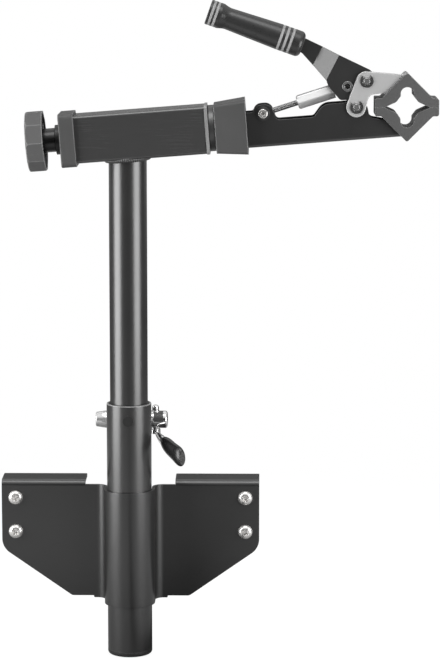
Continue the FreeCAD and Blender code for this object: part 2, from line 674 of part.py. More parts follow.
# Weld bead between post and head tube, hollow outside like a fillet
def postWeld():
    size = num("dim.weldSize")
    inner = num("dim.postRadius") - 1.0
    outer = num("dim.postRadius") + size
    top = -num("dim.tubeSide") / 2
    # where the post's axis leaves the tilted tube
    side = top * math.tan(math.radians(num("dim.tilt")))
    ring = Part.makeCylinder(outer + 0.5, size + 0.5, Vector(side, 0, top - size - 0.5))
    hollow = Part.makeTorus(outer + 0.5, size, Vector(side, 0, top - size))
    belt = Part.makeCylinder(inner, 3 * size, Vector(side, 0, top - 2 * size))
    bead = ring.cut(hollow).cut(belt)
    upright = Part.makeCylinder(num("dim.postRadius") + 0.02, 60, Vector(0, 0, top - 30))
    upright.Placement = Placement(Vector(), Rotation(alongY, num("dim.tilt"))).multiply(upright.Placement)
    item = doc.addObject("Part::Feature", "weld_bead")
    item.Shape = max(bead.cut(upright).Solids, key=lambda solid: solid.Volume)
    return keep(item, "post_weld", headFrame)


# Plug in the post's foot: it slides with the post, and the post swivels on it
def postPlug():
    piece = newBody("post_plug", postFrame)
    foot = "dim.sleeveTop - dim.postDepth"
    spigot = "dim.postRadius - dim.postWall - dim.postFit"
    profile = newSketch(piece, "XZ_Plane")
    outline(profile, [
        (0, foot + " - dim.sliderHeight"), ("dim.postRadius", foot + " - dim.sliderHeight", 1.5),
        ("dim.postRadius", foot + " - 0.1"), (spigot, foot + " - 0.1"),
        (spigot, foot + " + dim.sliderSpigot", 2.0), (0, foot + " + dim.sliderSpigot")])
    revolve(piece, profile, "V_Axis")
    return piece


# Square head tube
def headTube():
    piece = newBody("head_tube", headFrame)
    half = "dim.tubeSide / 2"
    hole = "(dim.tubeSide / 2 - dim.tubeWall)"
    ring = newSketch(piece, "YZ_Plane", "-dim.tubeRear")
    rectangle(ring, "-" + half, "-" + half, half, half, "dim.tubeRound")
    rectangle(ring, "-" + hole, "-" + hole, hole, hole, "dim.tubeRound - dim.tubeWall")
    pad(piece, ring, "dim.tubeRear + dim.tubeFront")
    return piece


def frontEndPlate():
    piece = newBody("front_end_plate", headFrame)
    half = "dim.endPlateSide / 2"
    face = newSketch(piece, "YZ_Plane", "dim.tubeFront")
    rectangle(face, "-" + half, "-" + half, half, half, "dim.tubeRound")
    circle(face, 0, 0, "dim.shaftRadius + 4.1")
    pad(piece, face, "dim.endPlate")
    return piece


def headBush(label, start, forward):
    # square outside to sit in the tube, round inside, with a collar in the front plate
    piece = newBody(label, headFrame)
    half = "(dim.tubeSide / 2 - dim.tubeWall - 0.05)"
    block = newSketch(piece, "YZ_Plane", start)
    rectangle(block, "-" + half, "-" + half, half, half, "dim.tubeRound - dim.tubeWall + 0.2")
    pad(piece, block, "dim.bushLength")
    if forward:
        nose = newSketch(piece, "YZ_Plane", "dim.tubeFront")
        circle(nose, 0, 0, "dim.shaftRadius + 4.0")
        pad(piece, nose, "dim.endPlate + 0.15")
    bore = newSketch(piece, "YZ_Plane", "-dim.tubeRear - 20")
    circle(bore, 0, 0, "dim.shaftRadius + dim.bushFit")
    pocket(piece, bore, "dim.tubeRear + dim.tubeFront + 60", back=True)
    return piece


# Grey end cap over the tube's rear end
def endCap():
    piece = newBody("end_cap", headFrame)
    half = "dim.capSide / 2"
    block = newSketch(piece, "YZ_Plane", "-dim.capRear")
    rectangle(block, "-" + half, "-" + half, half, half, "dim.capRound")
    pad(piece, block, "dim.capRear - dim.capFront")
    rear = -num("dim.capRear")
    roundEdges(piece, 1.0, lambda e: abs(middle(e).x - rear) < 0.01)
    mouth = newSketch(piece, "YZ_Plane", "-dim.capFront")
    inner = "(dim.tubeSide / 2 + 0.1)"
    rectangle(mouth, "-" + inner, "-" + inner, inner, inner, "dim.tubeRound + 0.1")
    pocket(piece, mouth, "dim.tubeRear - dim.capFront")
    bore = newSketch(piece, "YZ_Plane", "-dim.capRear - 1")
    circle(bore, 0, 0, "dim.shaftRadius + 0.4")
    pocket(piece, bore, "dim.through", back=True)
    return piece


def thrustWasher():
    piece = newBody("thrust_washer", headFrame)
    face = newSketch(piece, "YZ_Plane", "-dim.capRear - dim.thrustThick")
    circle(face, 0, 0, "dim.thrustRadius")
    circle(face, 0, 0, "dim.shaftRadius + 0.4")
    pad(piece, face, "dim.thrustThick - 0.1")
    return piece


# Shaft of the clamp head: it runs through the head tube into the knob
def headShaft():
    piece = newBody("head_shaft", headFrame)
    profile = newSketch(piece, "XZ_Plane")
    outline(profile, [
        ("-dim.knobFace - 12", 0), ("-dim.knobFace - 12", "dim.threadRadius"),
        ("-dim.capRear - 6", "dim.threadRadius"), ("-dim.capRear - 6", "dim.shaftRadius"),
        ("dim.collarRear + 3.1", "dim.shaftRadius"), ("dim.collarRear + 3.1", "dim.flangeRadius"),
        ("dim.collarRear + 3.1 + dim.flangeThick", "dim.flangeRadius"),
        ("dim.collarRear + 3.1 + dim.flangeThick", 0)])
    revolve(piece, profile)
    return piece


def frictionDisc():
    piece = newBody("friction_disc", headFrame)
    profile = newSketch(piece, "XZ_Plane")
    start = "dim.tubeFront + dim.endPlate + 0.3"
    outline(profile, [
        (start, "dim.shaftRadius + 0.1"), (start, "dim.discRadius", 0.8),
        ("dim.discFront", "dim.discRadius", 0.5), ("dim.discFront", "dim.shaftRadius + 0.1")])
    revolve(piece, profile)
    return piece


# Knob: domed, with flats round its rim and a hollow back
def knob():
    piece = newBody("knob", headFrame)
    profile = newSketch(piece, "XZ_Plane")
    back = "-dim.knobFace"
    outline(profile, [
        (back + " - dim.knobThick - dim.knobDome", 0),
        (back + " - dim.knobThick - dim.knobDome", "dim.knobRadius * 0.45", "dim.knobRadius"),
        (back + " - dim.knobThick", "dim.knobRadius", 3.0),
        (back, "dim.knobRadius"), (back, "dim.knobRadius - dim.knobWall"),
        (back + " - dim.knobThick + 5", "dim.knobRadius - dim.knobWall - 1.5", 2.0),
        (back + " - dim.knobThick + 5", "dim.knobHub"),
        ("-dim.capRear - dim.thrustThick - 0.2", "dim.knobHub"),
        ("-dim.capRear - dim.thrustThick - 0.2", "dim.shaftRadius + 0.3"),
        (back, "dim.shaftRadius + 0.3"), (back, "dim.insertRadius"),
        (back + " - 14", "dim.insertRadius"), (back + " - 14", 0)])
    revolve(piece, profile)
    flat = newSketch(piece, "YZ_Plane", "-dim.knobFace + 1")
    rectangle(flat, -12.0, "dim.knobRadius - dim.knobFlatDepth", 12.0, "dim.knobRadius + 5")
    cut = pocket(piece, flat, "dim.knobThick + dim.knobDome + 2")
    turn = piece.newObject("PartDesign::PolarPattern", "flats")
    turn.Originals = [cut]
    turn.Axis = (profile, ["H_Axis"])
    turn.Angle = 360
    turn.Occurrences = int(num("dim.knobFlats"))
    piece.Tip = turn
    return piece


def knobInsert():
    piece = newBody("knob_insert", headFrame)
    face = newSketch(piece, "YZ_Plane", "-dim.knobFace - 13.9")
    circle(face, 0, 0, "dim.insertRadius - 0.02")
    circle(face, 0, 0, "dim.threadRadius + dim.threadFit")
    pad(piece, face, 13.8)
    return piece


# Collar: a flared square skirt round the clamp arm's root
def roundedSquare(side, radius, x):
    half = side / 2
    points = [Vector(x, half, -half + radius), Vector(x, half, half - radius),
              Vector(x, half - radius, half), Vector(x, -half + radius, half),
              Vector(x, -half, half - radius), Vector(x, -half, -half + radius),
              Vector(x, -half + radius, -half), Vector(x, half - radius, -half)]
    lean = radius * (1 - math.sqrt(0.5))
    corners = [Vector(x, half - lean, half - lean), Vector(x, -half + lean, half - lean),
               Vector(x, -half + lean, -half + lean), Vector(x, half - lean, -half + lean)]
    edges = []
    for i in range(4):
        edges.append(Part.LineSegment(points[2 * i], points[2 * i + 1]).toShape())
        edges.append(Part.Arc(points[2 * i + 1], corners[i], points[(2 * i + 2) % 8]).toShape())
    return Part.Wire(edges)


def collar():
    wall = num("dim.collarWall")
    rear, front = num("dim.collarRear"), num("dim.collarFront")
    small, large, rounding = num("dim.collarSmall"), num("dim.collarLarge"), num("dim.collarRound")
    outer = Part.makeLoft([roundedSquare(small, rounding, rear), roundedSquare(large, rounding, front)], True)
    slope = (large - small) / (front - rear)
    floor = rear + wall
    inner = Part.makeLoft([
        roundedSquare(small + slope * wall - 2 * wall, 1.5, floor),
        roundedSquare(large + slope - 2 * wall, 1.5, front + 1)], True)
    bore = Part.makeCylinder(num("dim.shaftRadius") + 0.2, 20, Vector(rear - 5, 0, 0), alongX)
    item = doc.addObject("Part::Feature", "collar_skirt")
    item.Shape = outer.cut(inner).cut(bore)
    return keep(item, "collar", headFrame)


# Positions in the head's frame of a point given in the jaw's upright frame
def jawToHead(x, z):
    place = headFrame.inverse().multVec(jawFrame.multVec(Vector(x, 0, z)))
    return place.x, place.z


# Fixed arm: channel with a rounded hump for the jaw pivot and an ear for the rod's bolt
def clampArm():
    piece = newBody("clamp_arm", headFrame)
    apexX, apexZ = jawToHead(0, -num("dim.jawHalf"))
    endX, endZ = jawToHead(-num("dim.jawHalf"), 0)
    foot = num("dim.armFoot")
    share = (foot - apexZ) / (endZ - apexZ)
    tipX = apexX + share * (endX - apexX)
    rise = 0.615
    topX, topZ = apexX + rise * (endX - apexX), apexZ + rise * (endZ - apexZ)
    ear = "dim.earRadius"
    side = newSketch(piece, "XZ_Plane")
    outline(side, [
        ("dim.armRear", "dim.armFoot"), (tipX, "dim.armFoot"), (topX, topZ),
        ("dim.humpRight + 2.2", "dim.armFoot + 21", 6.0),
        ("dim.humpRight", "dim.humpTop", 8.0), ("dim.humpLeft", "dim.humpTop", 14.0),
        ("dim.humpLeft - 9.9", "dim.waistTop", 4.0),
        ("dim.pivotDx + 13", "dim.waistTop", 4.0),
        ("dim.pivotDx + " + ear, "dim.pivotDz + " + ear, ear + " * 0.98"),
        ("dim.pivotDx - " + ear, "dim.pivotDz + " + ear, ear + " * 0.98"),
        ("dim.pivotDx - " + ear + " - 1", "dim.armRoot", 2.0),
        ("dim.armRear", "dim.armRoot")])
    pad(piece, side, "2 * dim.armHalf", both=True)
    foot = num("dim.armFoot")
    roundEdges(piece, "dim.armSheet", lambda e: along(e, alongX) and abs(middle(e).z - foot) < 0.01)
    trough = newSketch(piece, "YZ_Plane", "dim.armRear - 1")
    inner = "(dim.armHalf - dim.armSheet)"
    rectangle(trough, "-" + inner, "dim.armFoot + dim.armSheet", inner, 60.0)
    pocket(piece, trough, "dim.through", back=True)
    holes = newSketch(piece, "XZ_Plane")
    circle(holes, "dim.pivotAx", "dim.pivotAz", "dim.pinRadius + dim.pinFit")
    circle(holes, "dim.pivotDx", "dim.pivotDz", "dim.boltRadius + dim.pinFit")
    pocket(piece, holes, "dim.through", both=True)
    return piece


# Both legs of the upper seat are alike, and the lower seat's left leg ends at the arm
def leftLeg(up):
    return "dim.seatLeg" if up > 0 else "dim.seatShort"


# Vee block outline in the jaw's frame; up is 1 for the upper block and -1 for the lower
def jawPad(label, up):
    sign = "" if up > 0 else "-"
    piece = newBody(label, jawFrame)
    face = newSketch(piece, "XZ_Plane")
    gap = sign + "(dim.jawGap / 2)"
    earTop = sign + "dim.earHeight"
    knee = "(dim.jawHalf - dim.earHeight)"
    corners = [
        ("dim.tipReach", gap), ("dim.earReach", gap),
        ("dim.earReach", earTop, 2.5), (knee, earTop, 3.0),
        (0, sign + "dim.jawHalf", "dim.padRound"),
        ("-" + knee, earTop, 3.0), ("-dim.earReach", earTop, 1.0),
        ("-dim.earReach", gap), ("-dim.tipReach", gap),
        ("-dim.shoulderX", sign + "dim.shoulderZ", 6.0),
        ("-dim.notchRadius", sign + "dim.notchSide", 2.0),
        ("-dim.notchRadius", sign + "dim.notchTop", "dim.notchRadius * 0.98"),
        ("dim.notchRadius", sign + "dim.notchTop", "dim.notchRadius * 0.98"),
        ("dim.notchRadius", sign + "dim.notchSide", 2.0),
        ("dim.shoulderX", sign + "dim.shoulderZ", 6.0)]
    outline(face, corners)
    pad(piece, face, "dim.jawDepth", both=True)
    # groove for the steel seat, between the block's two rims
    groove = newSketch(piece, "XZ_Plane")
    deep = "(dim.seatSheet + dim.seatFit) * sqrt(2)"
    left = "(" + leftLeg(up) + " / sqrt(2) + 0.2)"
    right = "(dim.seatLeg / sqrt(2) + 0.2)"
    outline(groove, [
        (0, sign + "(dim.jawHalf + 8)"), (right + " + 4", sign + "(dim.jawHalf - " + right + " + 4)"),
        (right, sign + "(dim.jawHalf - " + right + ")"),
        (right + " - " + deep + " / 2", sign + "(dim.jawHalf - " + right + " - " + deep + " / 2)"),
        (0, sign + "(dim.jawHalf - " + deep + ")"),
        ("-" + left + " + " + deep + " / 2", sign + "(dim.jawHalf - " + left + " - " + deep + " / 2)"),
        ("-" + left, sign + "(dim.jawHalf - " + left + ")"),
        ("-" + left + " - 4", sign + "(dim.jawHalf - " + left + " + 4)")])
    pocket(piece, groove, "2 * (dim.armHalf + dim.linkGap + dim.linkSheet + 0.3)", both=True)
    return piece


# Steel angle that carries a vee block
def jawSeat(label, up):
    sign = "" if up > 0 else "-"
    piece = newBody(label, jawFrame)
    face = newSketch(piece, "XZ_Plane")
    right = "dim.seatLeg / sqrt(2)"
    left = leftLeg(up) + " / sqrt(2)"
    step = "dim.seatSheet / sqrt(2)"
    outline(face, [
        (0, sign + "dim.jawHalf", "dim.padRound"), (right, sign + "(dim.jawHalf - " + right + ")"),
        (right + " - " + step, sign + "(dim.jawHalf - " + right + " - " + step + ")"),
        (0, sign + "(dim.jawHalf - dim.seatSheet * sqrt(2))"),
        ("-" + left + " + " + step, sign + "(dim.jawHalf - " + left + " - " + step + ")"),
        ("-" + left, sign + "(dim.jawHalf - " + left + ")")])
    pad(piece, face, "2 * (dim.armHalf + dim.linkGap + dim.linkSheet)", both=True)
    return piece


# Silver link plates: they turn on pivot A, carry pivot B and hold the upper block
def jawLink(label, side):
    piece = newBody(label, headFrame)
    apexX, apexZ = jawToHead(0, num("dim.jawHalf"))
    farX, farZ = jawToHead(-num("dim.jawHalf"), 0)
    low = 0.587
    high = 0.06 + (num("dim.rearTrim") / num("dim.jawHalf") if side > 0 else 0)
    lowX, lowZ = apexX + low * (farX - apexX), apexZ + low * (farZ - apexZ)
    highX, highZ = apexX + high * (farX - apexX), apexZ + high * (farZ - apexZ)
    r = num("dim.linkBoss")
    a = Vector(num("dim.pivotAx"), num("dim.pivotAz"), 0)
    b = Vector(num("dim.pivotBx"), num("dim.pivotBz"), 0)
    way = (b - a).normalize()
    left = Vector(-way.y, way.x, 0)
    crown = num("dim.linkCrown") - (num("dim.rearTrim") if side > 0 else 0)
    # corners of the straight sides round both bosses
    lowLeft = a - way * r + left * r
    lowRight = a - way * r - left * r
    slope = (Vector(highX, highZ, 0) - (b + Vector(0, crown, 0))).normalize()
    up = Vector(-slope.y, slope.x, 0)
    lineA = (a + left * r, way)
    lineB = (b + up * crown, slope)
    den = lineA[1].x * lineB[1].y - lineA[1].y * lineB[1].x
    gap = lineB[0] - lineA[0]
    share = (gap.x * lineB[1].y - gap.y * lineB[1].x) / den
    corner = lineA[0] + lineA[1] * share
    inner = a + Vector(r * 1.33, r * 1.09, 0)
    start = "dim.armHalf + dim.linkGap"
    shift = "-(" + start + ")" if side > 0 else start + " + dim.linkSheet"
    face = newSketch(piece, "XZ_Plane", shift)
    outline(face, [
        (lowLeft.x, lowLeft.y, r * 0.97), (lowRight.x, lowRight.y, r * 0.9),
        (inner.x, inner.y, r * 0.65), (lowX, lowZ), (highX, highZ),
        (corner.x, corner.y, crown)])
    pad(piece, face, "dim.linkSheet", back=True)
    holes = newSketch(piece, "XZ_Plane")
    circle(holes, "dim.pivotAx", "dim.pivotAz", "dim.pinRadius + dim.pinFit")
    circle(holes, "dim.pivotBx", "dim.pivotBz", "dim.pinRadius + dim.pinFit")
    pocket(piece, holes, "dim.through", both=True)
    # outer edge rounded, but not round the pin holes nor along the seat
    outside = side * num(linkOut)
    seatMiddle = Vector((lowX + highX) / 2, outside, (lowZ + highZ) / 2)
    roundEdges(piece, "dim.linkRound", lambda e: abs(middle(e).y - outside) < 0.01
               and not e.isClosed() and middle(e).distanceToPoint(seatMiddle) > 1)
    return piece


linkOut = "(dim.armHalf + dim.linkGap + dim.linkSheet)"


# Headed pins, grooved for their clips
def pivotPin(label, x, z):
    piece = newBody(label, headFrame.multiply(Placement(Vector(num(x), 0, num(z)), Rotation())))
    profile = newSketch(piece, "XY_Plane")
    outline(profile, [
        (0, "-" + linkOut + " - dim.pinProud"), ("dim.pinRadius - 0.8", "-" + linkOut + " - dim.pinProud"),
        ("dim.pinRadius", "-" + linkOut + " - dim.pinProud + 0.8"),
        ("dim.pinRadius", "-" + linkOut + " - 0.1 - dim.clipThick - 0.05"),
        ("dim.pinRadius - 0.9", "-" + linkOut + " - 0.1 - dim.clipThick - 0.05"),
        ("dim.pinRadius - 0.9", "-" + linkOut + " - 0.05"), ("dim.pinRadius", "-" + linkOut + " - 0.05"),
        ("dim.pinRadius", linkOut + " + 0.1"), ("dim.pinRadius + 2", linkOut + " + 0.1"),
        ("dim.pinRadius + 2", linkOut + " + 2.1", 1.0), (0, linkOut + " + 2.1")])
    revolve(piece, profile, "V_Axis")
    return piece


# Open clips in the pins' grooves: a horseshoe with three tabs that reach the groove
def pinClip(label, x, z, angle):
    start = -num(linkOut) - 0.1 - num("dim.clipThick")
    thick, tab = num("dim.clipThick"), num("dim.clipTab")
    base = Vector(0, start, 0)
    ring = Part.makeCylinder(num("dim.clipRadius"), thick, base, alongY)
    hole = Part.makeCylinder(num("dim.clipBore"), thick, base, alongY)
    gap = num("dim.clipGap")
    mouth = Part.makeBox(gap, thick, 20, Vector(-gap / 2, start, 0))
    shape = ring.cut(hole).cut(mouth)
    groove = Part.makeCylinder(num("dim.pinRadius") - 0.87, thick, base, alongY)
    for turn in (90, 180, 270):
        arm = Part.makeBox(tab, thick, num("dim.clipBore") + 0.8, Vector(-tab / 2, start, 0))
        arm.Placement = Placement(Vector(), Rotation(alongY, turn)).multiply(arm.Placement)
        shape = shape.fuse(arm.cut(groove))
    item = doc.addObject("Part::Feature", "clip")
    item.Shape = shape.removeSplitter()
    seat = Placement(Vector(num(x), 0, num(z)), Rotation(alongY, angle))
    return keep(item, label, headFrame.multiply(seat))


# Bolt at the rod's eye, with a socket head, washer and nut
def rodBolt():
    place = headFrame.multiply(Placement(Vector(num("dim.pivotDx"), 0, num("dim.pivotDz")), Rotation()))
    piece = newBody("rod_bolt", place)
    profile = newSketch(piece, "XY_Plane")
    face = "dim.armHalf + 1.05"
    outline(profile, [
        (0, "-" + "(" + face + " + dim.boltHeadHeight)"),
        ("dim.boltHead", "-" + "(" + face + " + dim.boltHeadHeight)", 0.8),
        ("dim.boltHead", "-(" + face + ")"), ("dim.boltRadius", "-(" + face + ")"),
        ("dim.boltRadius", "dim.armHalf + 8"), (0, "dim.armHalf + 8")])
    revolve(piece, profile, "V_Axis")
    socket = newSketch(piece, "XZ_Plane", face + " + dim.boltHeadHeight")
    corners = []
    for i in range(6):
        angle = math.radians(60 * i)
        corners.append(("dim.socketFlats / sqrt(3) * %.6f" % math.cos(angle),
                        "dim.socketFlats / sqrt(3) * %.6f" % math.sin(angle)))
    outline(socket, corners)
    pocket(piece, socket, 2.0)
    return piece


def rodBoltNut():
    place = headFrame.multiply(Placement(Vector(num("dim.pivotDx"), 0, num("dim.pivotDz")), Rotation()))
    start = num("dim.armHalf") + 0.05
    flats = 6.5
    corners = []
    for i in range(7):
        angle = math.radians(60 * i + 30)
        reach = flats / math.cos(math.radians(30))
        corners.append(Vector(reach * math.cos(angle), start, reach * math.sin(angle)))
    nut = Part.Face(Part.makePolygon(corners)).extrude(Vector(0, 6.0, 0))
    nut = nut.cut(Part.makeCylinder(num("dim.boltRadius") + 0.03, 40, Vector(0, -5, 0), alongY))
    washer = Part.makeCylinder(num("dim.boltWasher"), 1.0, Vector(0, -num("dim.armHalf") - 1.02, 0), alongY)
    washer = washer.cut(Part.makeCylinder(num("dim.boltRadius") + 0.1, 60, Vector(0, -30, 0), alongY))
    return group("rod_bolt_nut", [nut, washer], place)


# Lever plates: one outline, joggled inwards so that both meet in the grip
def leverOutline(trim):
    c = (num("dim.pivotCx"), num("dim.pivotCz"))
    b = (num("dim.pivotBx"), num("dim.pivotBz"))
    lean = math.radians(num("dim.gripAngle"))
    way = Vector(math.cos(lean), math.sin(lean), 0)
    across = Vector(way.y, -way.x, 0)
    end = Vector(num("dim.gripX"), num("dim.gripZ"), 0)
    half = num("dim.tangHalf")
    tip = end + way * num("dim.tangLength")
    top = end + across * half
    low = end - across * half
    return [
        (tip + across * half, 2.0), (top + way * -1.5, 20.0),
        (Vector(b[0] + 5.5, b[1] + 9.6 - trim, 0), 6.5), (Vector(b[0] + 10.2, b[1] - 8.5, 0), 6.5),
        (Vector(c[0] + 6.0, c[1] - 13.3, 0), 8.0), (Vector(c[0] - 8.1, c[1] - 13.2, 0), 5.0),
        (Vector(c[0] - 19.2, c[1] + 2.4, 0), 4.0), (Vector(c[0] - 19.8, c[1] + 6.5, 0), 6.0),
        (low + way * -1.0, 9.0), (tip - across * half, 2.0)]


def roundedFace(corners, y):
    # a flat face in an XZ plane from corners and their roundings
    count = len(corners)
    edges = []
    inPoints = []
    outPoints = []
    mids = []
    for i in range(count):
        here, radius = corners[i]
        back = (corners[i - 1][0] - here).normalize()
        ahead = (corners[(i + 1) % count][0] - here).normalize()
        half = back.getAngle(ahead) / 2
        reach = radius / math.tan(half)
        centre = here + (back + ahead).normalize() * (radius / math.sin(half))
        inPoints.append(here + back * reach)
        outPoints.append(here + ahead * reach)
        mids.append(centre + (here - centre).normalize() * radius)
    lift = lambda v: Vector(v.x, y, v.y)
    for i in range(count):
        edges.append(Part.Arc(lift(inPoints[i]), lift(mids[i]), lift(outPoints[i])).toShape())
        edges.append(Part.LineSegment(lift(outPoints[i]), lift(inPoints[(i + 1) % count])).toShape())
    return Part.Face(Part.Wire(edges))


def leverPlate(label, side):
    trim = num("dim.rearTrim") * 0.9 if side > 0 else 0.0
    plan = roundedFace(leverOutline(trim), -40.0).extrude(Vector(0, 80, 0))
    # the joggle's section: x runs away from pivot B, square to the two bend lines
    out, thick = num("dim.leverHalf"), num("dim.leverSheet")
    near, far = num("dim.bendNear"), num("dim.bendFar")
    lean = 0.35
    low = -150.0
    section = [
        Vector(-40, side * (out - thick), low), Vector(near + thick * lean, side * (out - thick), low),
        Vector(far + thick * lean, 0, low), Vector(220, 0, low), Vector(220, side * thick, low),
        Vector(far, side * thick, low), Vector(near, side * out, low), Vector(-40, side * out, low)]
    slab = Part.Face(Part.makePolygon(section + [section[0]])).extrude(Vector(0, 0, -2 * low))
    turn = Rotation(alongY, -(90 + num("dim.bendAngle")))
    slab.Placement = Placement(Vector(num("dim.pivotBx"), 0, num("dim.pivotBz")), turn)
    shape = plan.common(slab)
    for x, z, r in (("dim.pivotBx", "dim.pivotBz", "dim.pinRadius + dim.pinFit"),
                    ("dim.pivotCx", "dim.pivotCz", "dim.rivetTube + 0.03")):
        shape = shape.cut(Part.makeCylinder(num(r), 80, Vector(num(x), -40, num(z)), alongY))
    item = doc.addObject("Part::Feature", label)
    item.Shape = shape.removeSplitter()
    return keep(item, label, headFrame)


# Semi tubular rivet at pivot C, flared at its hollow front end
def leverRivet():
    place = headFrame.multiply(Placement(Vector(num("dim.pivotCx"), 0, num("dim.pivotCz")), Rotation()))
    piece = newBody("lever_rivet", place)
    profile = newSketch(piece, "XY_Plane")
    out = "(dim.leverHalf + dim.rivetHeadThick)"
    outline(profile, [
        ("dim.rivetBore", "-" + out), ("dim.rivetHead", "-" + out, 0.5), ("dim.rivetHead", "-dim.leverHalf"),
        ("dim.rivetTube", "-dim.leverHalf"), ("dim.rivetTube", "dim.leverHalf"),
        ("dim.rivetHead", "dim.leverHalf"), ("dim.rivetHead", out, 0.5), (0, out),
        (0, "-" + out + " + dim.rivetDeep"), ("dim.rivetBore", "-" + out + " + dim.rivetDeep")])
    revolve(piece, profile, "V_Axis")
    return piece


gripFrame = headFrame.multiply(Placement(
    Vector(num("dim.gripX"), 0, num("dim.gripZ")), Rotation(alongY, -num("dim.gripAngle"))))


# Rubber grip: flared ends, waist behind the outer flare, grooves for the rings
def grip():
    piece = newBody("grip", gripFrame)
    profile = newSketch(piece, "XZ_Plane")
    large, small, flare = "dim.gripLarge", "dim.gripSmall", "dim.gripFlare"
    low = " - dim.ringDepth"
    corners = [(0, 0), (0, large, 5.0)]
    for i in range(3):
        start = "dim.ringStart + %d * dim.ringPitch" % i
        corners += [(start, large), (start, large + low),
                    (start + " + dim.ringWidth", large + low), (start + " + dim.ringWidth", large)]
    corners += [("dim.gripLength - dim.flareLength - 5.5", small, 14.0),
                ("dim.gripLength - dim.flareLength + 1", flare, 5.0)]
    for i in range(2):
        start = "dim.gripLength - dim.tailStart - %d * dim.tailPitch - dim.ringWidth" % (1 - i)
        corners += [(start, flare), (start, flare + low),
                    (start + " + dim.ringWidth", flare + low), (start + " + dim.ringWidth", flare)]
    corners += [("dim.gripLength", flare, 0.9), ("dim.gripLength", 0)]
    outline(profile, corners)
    revolve(piece, profile)
    slot = newSketch(piece, "YZ_Plane", -1.0)
    wide = "(dim.leverSheet + dim.tangFit)"
    tall = "(dim.tangHalf + dim.tangFit)"
    rectangle(slot, "-" + wide, "-" + tall, wide, tall)
    pocket(piece, slot, "dim.tangLength + 2", back=True)
    return piece


def gripRings():
    large, flare, depth = num("dim.gripLarge"), num("dim.gripFlare"), num("dim.ringDepth")
    width, pitch = num("dim.ringWidth"), num("dim.ringPitch")
    length = num("dim.gripLength")
    rows = [(num("dim.ringStart") + i * pitch, large) for i in range(3)]
    tail = length - num("dim.tailStart") - width
    rows += [(tail - i * num("dim.tailPitch"), flare) for i in range(2)]
    shapes = []
    for start, radius in rows:
        ring = Part.makeCylinder(radius - 0.05, width - 0.04, Vector(start + 0.02, 0, 0), alongX)
        ring = ring.cut(Part.makeCylinder(radius - depth + 0.01, width + 2, Vector(start - 1, 0, 0), alongX))
        shapes.append(ring)
    return group("grip_rings", shapes, gripFrame)


rodWay = Vector(num("dim.pivotCx - dim.pivotDx"), 0, num("dim.pivotCz - dim.pivotDz"))
rodAngle = math.degrees(math.atan2(rodWay.z, rodWay.x))
rodLength = rodWay.Length
rodFrame = headFrame.multiply(Placement(
    Vector(num("dim.pivotDx"), 0, num("dim.pivotDz")), Rotation(alongY, -rodAngle)))


# Threaded rod with its cross eye on the bolt
def adjusterRod():
    half = num("dim.eyeHalf")
    eye = Part.makeCylinder(num("dim.eyeRadius"), 2 * half, Vector(0, -half, 0), alongY)
    end = num("dim.barrelStart + dim.barrelLength") - 14.0
    rod = Part.makeCylinder(num("dim.rodRadius"), end, Vector(0, 0, -num("dim.rodDrop")), alongX)
    bore = Part.makeCylinder(num("dim.boltRadius + dim.pinFit"), 60, Vector(0, -30, 0), alongY)
    item = doc.addObject("Part::Feature", "threaded_rod")
    item.Shape = eye.fuse(rod).cut(bore).removeSplitter()
    return keep(item, "adjuster_rod", rodFrame)


# Six sided barrel that is turned by hand
def adjusterBarrel():
    drop = Placement(Vector(0, 0, -num("dim.rodDrop")), Rotation())
    piece = newBody("adjuster_barrel", rodFrame.multiply(drop))
    hexagon = newSketch(piece, "YZ_Plane", "dim.barrelStart")
    corners = []
    for i in range(6):
        angle = math.radians(60 * i + 5)
        corners.append(("dim.barrelFlats / sqrt(3) * %.6f" % math.cos(angle),
                        "dim.barrelFlats / sqrt(3) * %.6f" % math.sin(angle), 1.2))
    outline(hexagon, corners)
    pad(piece, hexagon, "dim.barrelLength")
    chamfer = newSketch(piece, "XZ_Plane")
    edge = "(dim.barrelFlats / 2)"
    outline(chamfer, [
        ("dim.barrelStart - 1", edge + " - 1.5"), ("dim.barrelStart - 1", edge + " + 6"),
        ("dim.barrelStart + 2.5", edge + " + 6"), ("dim.barrelStart + 2.5", edge + " + 1.2"),
        ("dim.barrelStart + 0.8", edge + " - 0.1")])
    revolve(piece, chamfer, cut=True)
    bore = newSketch(piece, "YZ_Plane", "dim.barrelStart - 1")
    circle(bore, 0, 0, "dim.rodRadius + dim.threadFit")
    pocket(piece, bore, "dim.barrelLength + 2", back=True)
    return piece


# Swivel eye: its shank turns in the barrel, its wide bore goes round the rivet
def swivelEye():
    start = num("dim.barrelStart + dim.barrelLength")
    eye = Part.makeCylinder(num("dim.swivelEye"), 2 * num("dim.swivelHalf"),
                            Vector(rodLength, -num("dim.swivelHalf"), 0), alongY)
    low = -num("dim.rodDrop")
    radius = num("dim.rodRadius")
    shank = Part.makeCylinder(radius, rodLength - start + 12, Vector(start - 12, 0, low), alongX)
    shoulder = Part.makeCylinder(radius + 2, rodLength - start - 0.3, Vector(start + 0.3, 0, low), alongX)
    bore = Part.makeCylinder(num("dim.swivelBore"), 60, Vector(rodLength, -30, 0), alongY)
    item = doc.addObject("Part::Feature", "swivel")
    item.Shape = eye.fuse(shank).fuse(shoulder).cut(bore).removeSplitter()
    return keep(item, "swivel_eye", rodFrame)


